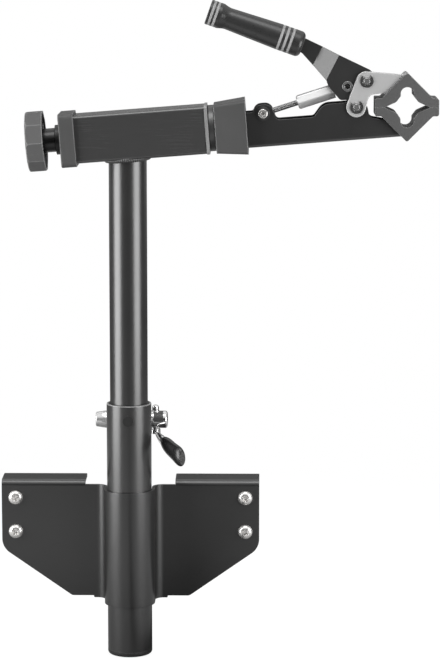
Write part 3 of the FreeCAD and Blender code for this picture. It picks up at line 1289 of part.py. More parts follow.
bracketPlate()
bracketScrews()
sleeveTube()
postLiner()
sleeveEndPlug()
clampLugs()
qrSkewer()
qrWashers()
qrNut()
qrHousing()
qrCamShaft()
qrLever()
qrLeverCover()
postTube()
postWeld()
postPlug()
headTube()
frontEndPlate()
headBush("rear_bush", "-dim.tubeRear", False)
headBush("front_bush", "dim.tubeFront - dim.bushLength", True)
endCap()
thrustWasher()
headShaft()
frictionDisc()
knob()
knobInsert()
collar()
clampArm()
jawSeat("lower_jaw_seat", -1)
jawPad("lower_jaw_pad", -1)
jawSeat("upper_jaw_seat", 1)
jawPad("upper_jaw_pad", 1)
jawLink("jaw_link_front", -1)
jawLink("jaw_link_rear", 1)
pivotPin("jaw_pin", "dim.pivotAx", "dim.pivotAz")
pivotPin("lever_pin", "dim.pivotBx", "dim.pivotBz")
pinClip("jaw_pin_clip", "dim.pivotAx", "dim.pivotAz", -8.0)
pinClip("lever_pin_clip", "dim.pivotBx", "dim.pivotBz", 4.0)
rodBolt()
rodBoltNut()
leverPlate("lever_plate_front", -1)
leverPlate("lever_plate_rear", 1)
leverRivet()
grip()
gripRings()
adjusterRod()
adjusterBarrel()
swivelEye()

doc.recompute()
for item in doc.Objects:
    bad = [word for word in item.State if word in ("Invalid", "Error")]
    if bad:
        raise ValueError("%s failed: %s" % (item.Label, item.getStatusString()))
for piece in pieces:
    if piece.Shape.isNull() or not piece.Shape.isValid():
        raise ValueError(piece.Label + " has no valid shape")

os.makedirs("parts", exist_ok=True)
for piece in pieces:
    piece.Shape.exportStep("parts/%s.step" % piece.Label)
    print("%-20s solids %d volume %.0f" % (piece.Label, len(piece.Shape.Solids), piece.Shape.Volume))
print("pieces", len(pieces))
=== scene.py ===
import json
import math

import bpy
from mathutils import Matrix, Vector


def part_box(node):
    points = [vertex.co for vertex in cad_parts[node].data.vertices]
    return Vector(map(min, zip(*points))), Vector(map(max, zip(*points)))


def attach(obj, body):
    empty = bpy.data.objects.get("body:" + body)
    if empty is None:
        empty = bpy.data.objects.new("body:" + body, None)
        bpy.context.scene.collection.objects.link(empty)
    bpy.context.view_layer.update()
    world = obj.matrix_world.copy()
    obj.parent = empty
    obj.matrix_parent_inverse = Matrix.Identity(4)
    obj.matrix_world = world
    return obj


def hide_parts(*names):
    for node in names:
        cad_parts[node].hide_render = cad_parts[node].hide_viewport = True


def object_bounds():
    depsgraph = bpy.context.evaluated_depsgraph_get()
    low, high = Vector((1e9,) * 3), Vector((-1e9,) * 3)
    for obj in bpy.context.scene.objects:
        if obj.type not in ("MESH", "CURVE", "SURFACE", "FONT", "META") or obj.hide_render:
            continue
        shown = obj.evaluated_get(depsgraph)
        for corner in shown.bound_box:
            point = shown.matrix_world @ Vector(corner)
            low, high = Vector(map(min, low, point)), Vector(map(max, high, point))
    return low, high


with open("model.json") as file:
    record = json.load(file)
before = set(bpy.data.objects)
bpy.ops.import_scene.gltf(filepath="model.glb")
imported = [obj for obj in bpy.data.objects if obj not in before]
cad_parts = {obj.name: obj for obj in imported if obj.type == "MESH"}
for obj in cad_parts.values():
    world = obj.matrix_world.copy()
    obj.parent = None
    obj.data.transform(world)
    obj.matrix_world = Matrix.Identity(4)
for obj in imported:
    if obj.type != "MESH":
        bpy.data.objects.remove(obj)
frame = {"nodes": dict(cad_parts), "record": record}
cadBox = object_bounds()
print("frame loaded,", len(frame["nodes"]), "nodes")


# Shader maths: a Wire is a socket that works in a Python expression
class Wire:
    def __init__(self, nodes, socket):
        self.nodes = nodes
        self.socket = socket

    def maths(self, operation, first, second):
        return self.nodes.node("Math", {"operation": operation}, {0: first, 1: second})

    def __add__(self, other):
        return self.maths("ADD", self, other)

    def __sub__(self, other):
        return self.maths("SUBTRACT", self, other)

    def __rsub__(self, other):
        return self.maths("SUBTRACT", other, self)

    def __mul__(self, other):
        return self.maths("MULTIPLY", self, other)

    def __gt__(self, other):
        return self.maths("GREATER_THAN", self, other)

    def __lt__(self, other):
        return self.maths("LESS_THAN", self, other)

    def __or__(self, other):
        # the larger of two values
        return self.maths("MAXIMUM", self, other)

    __radd__ = __add__
    __rmul__ = __mul__


class Nodes:
    # the shader tree of a material or world; node() adds any node, its settings first and then its sockets
    def __init__(self, owner):
        owner.use_nodes = True
        self.tree = owner.node_tree
        self.tree.nodes.clear()

    def node(self, kind, settings=None, sockets=None, out=0):
        made = self.tree.nodes.new("ShaderNode" + kind)
        for name, value in (settings or {}).items():
            setattr(made, name, value)
        for name, value in (sockets or {}).items():
            if isinstance(value, Wire):
                self.tree.links.new(value.socket, made.inputs[name])
            else:
                made.inputs[name].default_value = value
        return Wire(self, made.outputs[out])

    def part(self, vector, axis):
        return self.node("SeparateXYZ", None, {0: vector}, axis)

    def slope(self, value, span, low=0.0, high=1.0):
        # goes softly from low to high while the value crosses the span
        return self.node("MapRange", {"interpolation_type": "SMOOTHSTEP"}, {
            "Value": value, "From Min": span[0], "From Max": span[1], "To Min": low, "To Max": high})

    def close(self, shader, kind):
        end = self.tree.nodes.new("ShaderNodeOutput" + kind)
        self.tree.links.new(shader.socket, end.inputs["Surface"])


class Finish(Nodes):
    edgeSamples = 6
    edgeGain = 9

    def __init__(self, name):
        self.material = bpy.data.materials.new(name)
        super().__init__(self.material)
        self.place = self.node("TexCoord", out="Object")

    def noise(self, size, detail=2.0, stretch=None, rough=0.5):
        # noise with features of the given size in metres, stretched along chosen axes
        where = self.place
        if stretch:
            where = self.node("Mapping", None, {"Vector": self.place, "Scale": stretch})
        return self.node("TexNoise", None, {
            "Vector": where, "Scale": 1.0 / size, "Detail": detail, "Roughness": rough})

    def cells(self, scale):
        # distance from the nearest of many scattered points
        return self.node("TexVoronoi", {"feature": "F1"}, {"Vector": self.place, "Scale": scale})

    def blendShades(self, mask, low, high):
        return self.node("Mix", {"data_type": "RGBA", "clamp_factor": True}, {0: mask, 6: low, 7: high}, 2)

    def relief(self, height, depth, under):
        return self.node("Bump", None, {"Height": height, "Distance": depth, "Normal": under})

    def softEdge(self, radius):
        # a normal that rounds sharp edges, and how close to such an edge a point is
        rounded = self.node("Bevel", {"samples": self.edgeSamples}, {"Radius": radius})
        flat = self.node("NewGeometry", out="Normal")
        alike = self.node("VectorMath", {"operation": "DOT_PRODUCT"}, {0: rounded, 1: flat}, "Value")
        return rounded, (1 - alike) * self.edgeGain

    def surface(self, sockets):
        return self.finish(self.node("BsdfPrincipled", None, sockets))

    def finish(self, shader):
        self.close(shader, "Material")
        return self.material


def shade(level, warm=0.0):
    # an opaque grey, a little warmer or cooler
    return (level * (1 + warm), level, level * (1 - warm), 1)


def swing(noise, width):
    # noise that varies around zero
    return (noise - 0.5) * width


def mixed(first, second, share):
    # the share belongs to the first
    return first * share + second * (1 - share)


# Satin powder coat: orange peel, a fine grain, faint cloudiness, edges painted paler in patches, partly
# rubbed wear and partly a painted highlight, and upright scuffs
powderCoat = {
    "grey": 0.016, "paler": 0.024, "gloss": 0.30, "density": 1.80,
    "cloud": 0.05, "cloudShare": 0.6, "cloudDull": 0.10, "peel": 0.0011, "peelDepth": 0.000012,
    "grain": 0.00022, "grainDepth": 0.000004, "grainDull": 0.06,
    "edge": 0.0005, "rubAndHighlight": 0.06, "rubAndHighlightPatch": 0.003, "rubAndHighlightShare": 0.8,
    "scuff": 0.0016, "scuffStretch": (1, 1, 0.04), "scuffAbove": 0.74, "scuffDull": 0.08}
# the head tube shows the lines along which its tube was drawn
tubeCoat = dict(powderCoat, grey=0.040, paler=0.048, gloss=0.26, peelDepth=0.000004,
                grainDepth=0.0000015, drawn=0.0014, drawnStretch=(0.05, 1, 1), drawnShare=0.7,
                drawnDepth=0.0000012, drawnDull=0.05)
# the folded plate's coat is painted darker: painted shade for its recessed, partly shadowed wings
shadedPlateCoat = dict(powderCoat, grey=0.009, paler=0.014)
beadCoat = dict(powderCoat, grey=0.012, paler=0.016, rubAndHighlight=0.02, gloss=0.40)
# a pale band painted round the sleeve's mouth: a painted highlight where its rim catches the light
sleeveCoat = dict(powderCoat, mouthHighlightAbove=0.11925, mouthHighlight=0.34, mouthHighlightEven=0.75)


def paintFinish(name, look):
    f = Finish(name)
    rounded, edge = f.softEdge(look["edge"])
    cloud = f.noise(look["cloud"], detail=4.0)
    grain = f.noise(look["grain"])
    peel = f.noise(look["peel"])
    scuff = f.noise(look["scuff"], detail=3.0, stretch=look["scuffStretch"], rough=0.7)
    bump = f.relief(peel, look["peelDepth"], rounded)
    bump = f.relief(grain, look["grainDepth"], bump)
    rough = look["gloss"] + swing(cloud, look["cloudDull"]) + swing(grain, look["grainDull"])
    if "drawn" in look:
        drawn = f.noise(look["drawn"], detail=3.0, stretch=look["drawnStretch"], rough=0.6)
        tone = mixed(drawn, cloud, look["drawnShare"])
        rough = rough + swing(drawn, look["drawnDull"])
        bump = f.relief(drawn, look["drawnDepth"], bump)
    else:
        tone = mixed(cloud, grain, look["cloudShare"])
    rough = rough + (scuff > look["scuffAbove"]) * look["scuffDull"]
    base = f.blendShades(tone, shade(look["grey"]), shade(look["paler"]))
    # edges painted paler in patches: partly rubbed wear, partly a painted highlight on the edges
    rubAndHighlightMask = edge * f.noise(look["rubAndHighlightPatch"], detail=3.0) * look["rubAndHighlightShare"]
    base = f.blendShades(rubAndHighlightMask, base, shade(look["rubAndHighlight"]))
    # painted highlight: a pale band round the sleeve's mouth, above the given height
    if "mouthHighlightAbove" in look:
        mouthHighlightBand = f.part(f.place, "Z") > look["mouthHighlightAbove"]
        base = f.blendShades(mouthHighlightBand * mixed(1, cloud, look["mouthHighlightEven"]), base, shade(look["mouthHighlight"]))
    return f.surface({"Base Color": base, "Roughness": rough, "IOR": look["density"], "Normal": bump})


# Injection moulded plastics: spark eroded grain, a little flow mottling, paler spots, and edges painted
# paler as a painted highlight
greyPlastic = {
    "grey": 0.056, "paler": 0.070, "gloss": 0.52, "edge": 0.0013, "edgeGain": 4.2,
    "flow": 0.022, "flowShare": 0.65, "flowDull": 0.12,
    "grain": 0.00045, "depth": 0.000022, "grainDull": 0.08, "pitSize": 2.2, "pitDepth": 0.5,
    "spot": 0.004, "spotAbove": 0.66, "spotShare": 0.25, "spotGain": 1.35}
jawPlastic = dict(greyPlastic, grey=0.060, paler=0.074, gloss=0.55, grain=0.0006, depth=0.000028,
                  edge=0.0006)
blackPlastic = dict(greyPlastic, grey=0.015, paler=0.023, gloss=0.40, grain=0.0004, depth=0.00002,
                    edge=0.0004)
coverPlastic = dict(greyPlastic, grey=0.008, paler=0.014, gloss=0.24, grain=0.0004, depth=0.000008,
                    edge=0.0004)
# the knob's hub is black and polished: the middle of its axis and its radius
knobPlastic = dict(greyPlastic, grey=0.082, paler=0.100, gloss=0.50, grain=0.0005, edge=0.0014,
                   hub=(-0.0225, 0.3858, 0.0135), hubGrey=0.018, hubPolish=0.26)


def mouldedFinish(name, look):
    f = Finish(name)
    rounded, edge = f.softEdge(look["edge"])
    flow = f.noise(look["flow"], detail=3.0)
    grain = f.noise(look["grain"], detail=3.0, rough=0.6)
    pits = f.cells(1.0 / (look["grain"] * look["pitSize"]))
    spots = f.noise(look["spot"], detail=4.0, rough=0.65) > look["spotAbove"]
    base = f.blendShades(mixed(flow, grain, look["flowShare"]), shade(look["grey"]), shade(look["paler"]))
    base = f.blendShades(spots * look["spotShare"], base, shade(look["paler"] * look["spotGain"]))
    # painted highlight: the edges painted much paler than the plastic
    base = f.blendShades(edge, base, shade(look["paler"] * look["edgeGain"]))
    bump = f.relief(grain, look["depth"], rounded)
    bump = f.relief(pits, look["depth"] * look["pitDepth"], bump)
    rough = look["gloss"] + swing(flow, look["flowDull"]) + swing(grain, look["grainDull"])
    if "hub" in look:
        atY, atZ, radius = look["hub"]
        y = f.part(f.place, "Y") - atY
        z = f.part(f.place, "Z") - atZ
        onHub = (y * y + z * z) < radius ** 2
        base = f.blendShades(onHub, base, shade(look["hubGrey"]))
        rough = rough - onHub * look["hubPolish"]
    return f.surface({"Base Color": base, "Roughness": rough, "Normal": bump})


# Plated and bare metals: fine lines of the machining, stains, dark specks and a brighter rim painted on the
# edges as a painted highlight
chrome = {
    "light": 0.80, "dull": 0.70, "warm": 0.0, "gloss": 0.10, "metal": 1.0,
    "lay": (1, 1, 1), "line": 0.0006, "lineDull": 0.10, "depth": 0.000001,
    "stain": 0.012, "stainShare": 0.7, "stainDull": 0.12,
    "cells": 900.0, "speck": 0.12, "speckTone": 0.5, "speckShare": 0.35,
    "edge": 0.0004, "rimGain": 1.25, "rimShare": 0.4}
screwSteel = dict(chrome, light=0.90, warm=0.02, gloss=0.17, line=0.0005, depth=0.000003, metal=0.75,
                  edge=0.0003)
bareSteel = dict(chrome, light=0.72, dull=0.56, gloss=0.24, depth=0.000003)
darkSteel = dict(chrome, light=0.15, dull=0.08, gloss=0.34, depth=0.000005, metal=0.8)
zincSheet = dict(chrome, light=0.50, dull=0.41, gloss=0.42, depth=0.000004, metal=0.3, lay=(1, 12, 12),
                 line=0.0012, edge=0.0011, rim=0.95, rimShare=1.0)
# satin nickel keeps a matt share, so that it stays pale between the dark parts around it
satinNickel = dict(chrome, light=0.82, gloss=0.22, depth=0.000002, metal=0.45)
# the skewer's nut is greyer and more mirror like
nutNickel = dict(satinNickel, light=0.74, dull=0.62, gloss=0.16, metal=0.65)
pinSteel = dict(chrome, light=0.34, dull=0.22, gloss=0.28, depth=0.000004, metal=0.7, edge=0.0005)
threadSteel = dict(chrome, light=0.46, dull=0.24, gloss=0.24, depth=0.000003, metal=0.8, edge=0.0002)
plateSteel = dict(chrome, light=0.34, dull=0.26, gloss=0.45, depth=0.000003, metal=0.3, line=0.0008,
                  edge=0.0003)
# painted reflection: the housing's upper half painted dark and less metallic, standing in for the chrome's
# reflection of dark surroundings, with pale bands on its ribs painted as highlights; the patch's left and
# right ends along X and its lower edge
paintedReflectionChrome = dict(chrome, darkReflection=(0.0240, 0.0336, 0.0958), darkReflectionGrey=0.060, darkReflectionDull=0.30,
                    darkReflectionMatt=0.7, ribs=520.0, ribWaver=1.5, ribHighlightShare=0.5, ribHighlightGain=2.5)


def metalFinish(name, look):
    f = Finish(name)
    rounded, edge = f.softEdge(look["edge"])
    stain = f.noise(look["stain"], detail=4.0, rough=0.6)
    line = f.noise(look["line"], detail=3.0, stretch=look["lay"], rough=0.6)
    speck = f.cells(look["cells"]) < look["speck"]
    light, dull, warm = look["light"], look["dull"], look["warm"]
    rim = look.get("rim", min(1.0, light * look["rimGain"]))
    base = f.blendShades(mixed(stain, line, look["stainShare"]), shade(dull, warm), shade(light, warm))
    base = f.blendShades(speck * look["speckShare"], base, shade(dull * look["speckTone"], warm))
    # painted highlight: a brighter rim painted along the edges
    base = f.blendShades(edge * look["rimShare"], base, shade(rim))
    bump = f.relief(line, look["depth"], rounded)
    rough = look["gloss"] + swing(stain, look["stainDull"]) + swing(line, look["lineDull"])
    metal = look["metal"]
    # painted reflection: a dark, less metallic patch on the upper half, with paler bands painted as
    # highlights
    if "darkReflection" in look:
        left, right, bottom = look["darkReflection"]
        x = f.part(f.place, "X")
        inDarkReflection = (x > left) * (x < right) * (f.part(f.place, "Z") > bottom)
        wave = {"Vector": f.place, "Scale": look["ribs"], "Distortion": look["ribWaver"]}
        ribs = f.node("TexWave", {"bands_direction": "Z"}, wave, 1)
        base = f.blendShades(inDarkReflection, base, shade(look["darkReflectionGrey"]))
        paint = shade(look["darkReflectionGrey"] * look["ribHighlightGain"])
        base = f.blendShades(inDarkReflection * ribs * look["ribHighlightShare"], base, paint)
        rough = rough + inDarkReflection * look["darkReflectionDull"]
        metal = metal - inDarkReflection * look["darkReflectionMatt"]
    return f.surface({"Base Color": base, "Metallic": metal, "Roughness": rough, "Normal": bump})


# Rubber: dull skin with a fine leathery grain, dust that lies in it and edges painted paler as a painted
# highlight
gripRubber = {
    "grey": 0.022, "gloss": 0.29, "grain": 0.0007, "depth": 0.000004,
    "dust": 0.036, "dustPatch": 0.006, "dustShare": 0.7, "dustDull": 0.16,
    "edge": 0.0004, "rimGain": 1.6, "rimShare": 0.3}
ringRubber = dict(gripRubber, grey=0.30, dust=0.40, gloss=0.50, grain=0.0006, depth=0.00002, edge=0.0003)


def rubberFinish(name, look):
    f = Finish(name)
    rounded, edge = f.softEdge(look["edge"])
    grain = f.noise(look["grain"], detail=3.0, rough=0.55)
    dust = f.noise(look["dustPatch"], detail=5.0, rough=0.7)
    base = f.blendShades(mixed(dust, grain, look["dustShare"]), shade(look["grey"]), shade(look["dust"]))
    # painted highlight: the edges painted paler than the rubber
    base = f.blendShades(edge * look["rimShare"], base, shade(look["dust"] * look["rimGain"]))
    bump = f.relief(grain, look["depth"], rounded)
    rough = look["gloss"] + swing(dust, look["dustDull"])
    return f.surface({"Base Color": base, "Roughness": rough, "Normal": bump})


finishes = {
    "black_paint": paintFinish("blackPaint", powderCoat),
    "tube_paint": paintFinish("tubePaint", tubeCoat),
    "shaded_plate_paint": paintFinish("shadedPlatePaint", shadedPlateCoat),
    "sleeve_paint": paintFinish("sleevePaint", sleeveCoat),
    "bead_paint": paintFinish("beadPaint", beadCoat),
    "grey_plastic": mouldedFinish("greyPlastic", greyPlastic),
    "knob_plastic": mouldedFinish("knobPlastic", knobPlastic),
    "jaw_plastic": mouldedFinish("jawPlastic", jawPlastic),
    "black_plastic": mouldedFinish("blackPlastic", blackPlastic),
    "cover_plastic": mouldedFinish("coverPlastic", coverPlastic),
    "chrome": metalFinish("chrome", chrome),
    "painted_reflection_chrome": metalFinish("paintedReflectionChrome", paintedReflectionChrome),
    "satin_nickel": metalFinish("satinNickel", satinNickel),
    "nut_nickel": metalFinish("nutNickel", nutNickel),
    "pin_steel": metalFinish("pinSteel", pinSteel),
    "thread_steel": metalFinish("threadSteel", threadSteel),
    "plate_steel": metalFinish("plateSteel", plateSteel),
    "screw_steel": metalFinish("screwSteel", screwSteel),
    "bare_steel": metalFinish("bareSteel", bareSteel),
    "dark_washer": metalFinish("darkWasher", darkSteel),
    "silver_zinc": metalFinish("zincSheet", zincSheet),
    "dark_pin": metalFinish("darkPin", darkSteel),
    "grip_rubber": rubberFinish("gripRubber", gripRubber),
    "ring_grey": rubberFinish("ringRubber", ringRubber),
}
# each node wears the finish of its slot, and these wear a finer one of the same kind
finishOf = {part["node"]: part["material_slot"] for part in frame["record"]["subparts"]}
finishOf.update({
    "knob": "knob_plastic", "head_tube": "tube_paint", "bracket_plate": "shaded_plate_paint",
    "sleeve_tube": "sleeve_paint", "qr_lever_cover": "cover_plastic", "qr_housing": "painted_reflection_chrome",
    "adjuster_barrel": "satin_nickel", "qr_nut": "nut_nickel", "front_end_plate": "plate_steel",
    "jaw_pin": "pin_steel", "lever_pin": "pin_steel", "lever_rivet": "pin_steel"})
for node, solid in frame["nodes"].items():
    solid.data.materials.clear()
    solid.data.materials.append(finishes[finishOf[node]])
print("finishes:", len(finishes))


# Modelling helpers: a primitive is only the start of a piece
def begin(kind, name, **sizes):
    bpy.ops.object.select_all(action="DESELECT")
    getattr(bpy.ops.mesh, "primitive_" + kind + "_add")(**sizes)
    piece = bpy.context.object
    piece.name = name
    return piece


def pick(*pieces):
    bpy.ops.object.select_all(action="DESELECT")
    for piece in pieces:
        piece.select_set(True)
    bpy.context.view_layer.objects.active = pieces[0]


def place(piece, spot=(0, 0, 0), turn=(0, 0, 0), scale=(1, 1, 1)):
    # moves a piece and puts the move into its mesh
    piece.location = spot
    piece.rotation_euler = [math.radians(angle) for angle in turn]
    piece.scale = scale
    pick(piece)
    bpy.ops.object.transform_apply(location=True, rotation=True, scale=True)
    return piece


def modify(piece, kind, **settings):
    pick(piece)
    made = piece.modifiers.new("step", kind)
    for name, value in settings.items():
        setattr(made, name, value)
    bpy.ops.object.modifier_apply(modifier=made.name)
    return piece


def soften(piece, width, segments, angle=50):
    # rounds the edges that are sharper than the angle
    return modify(piece, "BEVEL", width=width, segments=segments, limit_method="ANGLE",
                  angle_limit=math.radians(angle))


def cutOut(piece, tool):
    modify(piece, "BOOLEAN", operation="DIFFERENCE", object=tool, solver="EXACT")
    remove(tool)


def twin(piece):
    copy = piece.copy()
    copy.data = piece.data.copy()
    bpy.context.scene.collection.objects.link(copy)
    return copy


def join(name, pieces):
    pick(*pieces)
    bpy.ops.object.join()
    pieces[0].name = name
    return pieces[0]


def remove(piece):
    bpy.data.objects.remove(piece)


def dress(piece, body, finish, angle=35):
    pick(piece)
    bpy.ops.object.shade_smooth_by_angle(angle=math.radians(angle))
    piece.data.materials.clear()
    piece.data.materials.append(finishes[finish])
    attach(piece, body)


def threadCoil(name, root, crest, pitch, length, steps=20):
    # a diamond section swept along the screw line, up the Z axis from the ground
    coil = begin("circle", name, vertices=4, radius=pitch / 2)
    place(coil, turn=(90, 0, 0), scale=((crest - root) * 2 / pitch, 1, 1))
    place(coil, (root, 0, pitch / 2))
    return modify(coil, "SCREW", axis="Z", screw_offset=pitch, iterations=int(length / pitch),
                  steps=steps, render_steps=steps)


# The head's axis: its height on the post's axis, the post's distance from the bracket and the tilt
head = {"height": 0.3912, "back": -0.0225, "tilt": 4.4}


def onHead(piece):
    # moves a piece from the origin to the head, its X along the head tube
    return place(piece, (0, head["back"], head["height"]), (0, -head["tilt"], 0))


# Weld beads: overlapping ripples, one modelled and the rest copied along the seam
weld = {"ripples": 64, "ring": 0.0206, "half": 0.0031, "thick": 0.0022, "crown": 0.72, "lean": 20,
        "drop": 0.0236, "slip": -0.00181}


def makeRipple():
    # a flattened ball with its top cut off
    ripple = begin("uv_sphere", "ripple", segments=20, ring_count=12, radius=1.0)
    bpy.ops.object.mode_set(mode="EDIT")
    bpy.ops.mesh.select_all(action="SELECT")
    bpy.ops.mesh.bisect(plane_co=(0, 0, weld["crown"]), plane_no=(0, 0, 1), clear_outer=True, use_fill=True)
    bpy.ops.object.mode_set(mode="OBJECT")
    return place(ripple, turn=(weld["lean"], 0, 0), scale=(weld["half"], weld["thick"], weld["half"]))


def postBead():
    ripple = makeRipple()
    around = []
    for i in range(weld["ripples"]):
        one = place(twin(ripple), (weld["ring"], 0, 0))
        around.append(place(one, turn=(0, 0, 360.0 * i / weld["ripples"])))
    bead = join("weldBead", around)
    onHead(place(bead, (weld["slip"], 0, -weld["drop"])))
    remove(ripple)
    dress(bead, "post", "bead_paint", 50)
    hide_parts("post_weld")


postBead()


# Beads that hold the two clamp lugs to the sleeve, one down the outside of each
lugBead = {"ripples": 9, "pitch": 0.0021, "size": 0.62, "sleeve": 0.0226, "out": 0.0006, "proud": 0.0004}


def lugBeads():
    low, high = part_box("clamp_lugs")
    ripple = makeRipple()
    beads = []
    middle = (low.z + high.z) / 2
    for side, x, name in ((-1, low.x, "lugWeldLeft"), (1, high.x, "lugWeldRight")):
        # the bead lies on the sleeve's round wall
        y = head["back"] + math.sqrt(lugBead["sleeve"] ** 2 - x ** 2) + lugBead["proud"]
        row = []
        for i in range(lugBead["ripples"]):
            one = place(twin(ripple), turn=(90, 0, 0), scale=[lugBead["size"]] * 3)
            shift = (i - (lugBead["ripples"] - 1) / 2) * lugBead["pitch"]
            row.append(place(one, (x + side * lugBead["out"], y, middle + shift)))
        beads.append(join(name, row))
    remove(ripple)
    for bead in beads:
        dress(bead, "bracket", "bead_paint", 50)


lugBeads()


# Threaded rod with its cross eye: it starts at the bolt and leans up to the barrel
rod = {"spot": (0.134505, -0.0225, 0.413283), "slope": 17.896, "drop": 0.0013, "length": 0.0595,
       "end": 0.0005, "root": 0.00246, "overlap": 0.00004, "crest": 0.0030, "pitch": 0.0010,
       "plain": 0.0065, "runOut": 0.0010, "eye": 0.0070, "eyeHalf": 0.0127, "eyeRim": 0.0007,
       "bore": 0.00408}


def threadedRod():
    core = begin("cylinder", "core", vertices=32, radius=rod["root"] + rod["overlap"], depth=rod["length"])
    soften(core, rod["end"], 3)
    place(core, (rod["drop"], 0, rod["length"] / 2))
    threaded = rod["length"] - rod["plain"] - rod["runOut"]
    coil = threadCoil("coil", rod["root"], rod["crest"], rod["pitch"], threaded)
    place(coil, (rod["drop"], 0, rod["plain"]))
    eye = begin("cylinder", "eye", vertices=56, radius=rod["eye"], depth=2 * rod["eyeHalf"])
    soften(eye, rod["eyeRim"], 4)
    cutOut(eye, begin("cylinder", "bore", vertices=40, radius=rod["bore"], depth=4 * rod["eyeHalf"]))
    place(eye, turn=(90, 0, 0))
    whole = join("threadedRod", [core, coil, eye])
    place(whole, rod["spot"], (0, 90 - rod["slope"], 0))
    dress(whole, "rod", "thread_steel", 40)
    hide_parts("adjuster_rod")


threadedRod()


# Pan head screws: domed heads, tapered cross recesses, threaded shanks with a point
screw = {
    "head": 0.0074, "height": 0.0050, "dome": 0.0042, "sheet": 0.0030, "neck": 0.0042, "root": 0.0033,
    "crest": 0.00395, "pitch": 0.00175, "length": 0.0400, "tip": 0.0016, "runOut": 0.0010, "lift": 0.0002,
    "wing": 0.0094, "width": 0.0024, "deep": 0.0038, "taper": (0.40, 0.75, 1),
    "across": 0.1175, "up": 0.0177, "turns": (18, 52, 40, 63)}


def recessCutter():
    # two crossed wedges, narrower at the bottom of the recess
    wings = []
    for turn in (0, 90):
        wing = begin("cube", "wing", size=1.0)
        bpy.ops.object.mode_set(mode="EDIT")
        bpy.ops.mesh.select_all(action="DESELECT")
        bpy.ops.object.mode_set(mode="OBJECT")
        for face in wing.data.polygons:
            face.select = face.normal.z < -0.5
        bpy.ops.object.mode_set(mode="EDIT")
        bpy.ops.mesh.select_mode(type="FACE")
        bpy.ops.transform.resize(value=screw["taper"])
        bpy.ops.object.mode_set(mode="OBJECT")
        place(wing, scale=(screw["wing"], screw["width"], screw["deep"] * 2))
        wings.append(place(wing, turn=(0, 0, turn)))
    return wings


def screwHead():
    top = begin("cylinder", "screwHead", vertices=56, radius=screw["head"], depth=screw["height"])
    place(top, (0, 0, screw["height"] / 2))
    bpy.ops.object.mode_set(mode="EDIT")
    bpy.ops.mesh.select_all(action="DESELECT")
    bpy.ops.object.mode_set(mode="OBJECT")
    corners = top.data.vertices
    for edge in top.data.edges:
        edge.select = all(corners[v].co.z > screw["height"] * 0.9 for v in edge.vertices)
    bpy.ops.object.mode_set(mode="EDIT")
    bpy.ops.mesh.select_mode(type="EDGE")
    bpy.ops.mesh.bevel(offset=screw["dome"], segments=10, profile=0.5)
    bpy.ops.object.mode_set(mode="OBJECT")
    for wing in recessCutter():
        cutOut(top, place(wing, (0, 0, screw["height"])))
    return top


def panScrew():
    # along Z: the head's underside is at zero and the shank goes down
    sheet = screw["sheet"]
    shank = screw["length"] - 2 * sheet
    top = screwHead()
    neck = begin("cylinder", "neck", vertices=40, radius=screw["neck"], depth=sheet)
    place(neck, (0, 0, -sheet / 2))
    core = begin("cylinder", "core", vertices=32, radius=screw["root"], depth=shank)
    place(core, (0, 0, -sheet - shank / 2))
    tip = begin("cone", "tip", vertices=32, radius1=screw["root"], radius2=screw["tip"], depth=sheet)
    place(tip, turn=(180, 0, 0))
    place(tip, (0, 0, -sheet - shank - sheet / 2))
    coil = threadCoil("coil", screw["root"], screw["crest"], screw["pitch"], shank - screw["runOut"])
    place(coil, (0, 0, -sheet - shank + screw["lift"]))
    return join("screw", [top, neck, core, tip, coil])


def benchScrews():
    first = panScrew()
    four = []
    spots = [(x, z) for x in (-1, 1) for z in (1, -1)]
    for (x, z), turn in zip(spots, screw["turns"]):
        one = place(twin(first), turn=(0, 0, turn))
        place(one, turn=(90, 0, 0))
        four.append(place(one, (x * screw["across"], -screw["sheet"], z * screw["up"])))
    whole = join("benchScrews", four)
    remove(first)
    dress(whole, "bracket", "screw_steel", 40)
    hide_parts("bracket_screws")


benchScrews()


# Ribs in the knob's hollow back, from the hub to the rim
ribs = {"count": 10, "thick": 0.0016, "inner": 0.0114, "outer": 0.0262, "face": -0.0842, "deep": 0.0105,
        "edge": 0.0004}


def knobRibs():
    rib = begin("cube", "rib", size=1.0)
    place(rib, scale=(ribs["deep"], ribs["thick"], ribs["outer"] - ribs["inner"]))
    soften(rib, ribs["edge"], 3, 30)
    place(rib, (ribs["face"] - ribs["deep"] / 2, 0, (ribs["outer"] + ribs["inner"]) / 2))
    around = []
    for i in range(ribs["count"]):
        around.append(place(twin(rib), turn=(360.0 * (i + 0.5) / ribs["count"], 0, 0)))
    remove(rib)
    star = onHead(join("knobRibs", around))
    dress(star, "knob", "knob_plastic")


knobRibs()
print("detail pieces made")


# Camera at the photograph's place
lens = {"spot": (0.13218, -2.73746, 0.62075), "turn": 0.85, "down": 8.9, "focal": 149.64, "sensor": 36.0}


def makeCamera():
    data = bpy.data.cameras.new("photoCamera")
    data.lens = lens["focal"]
    data.sensor_width = lens["sensor"]
    camera = bpy.data.objects.new("photoCamera", data)
    bpy.context.scene.collection.objects.link(camera)
    turn, down = math.radians(lens["turn"]), math.radians(lens["down"])
    way = Vector((-math.sin(turn) * math.cos(down), math.cos(turn) * math.cos(down), -math.sin(down)))
    camera.location = lens["spot"]
    camera.rotation_euler = way.to_track_quat("-Z", "Y").to_euler()
    bpy.context.scene.camera = camera


makeCamera()


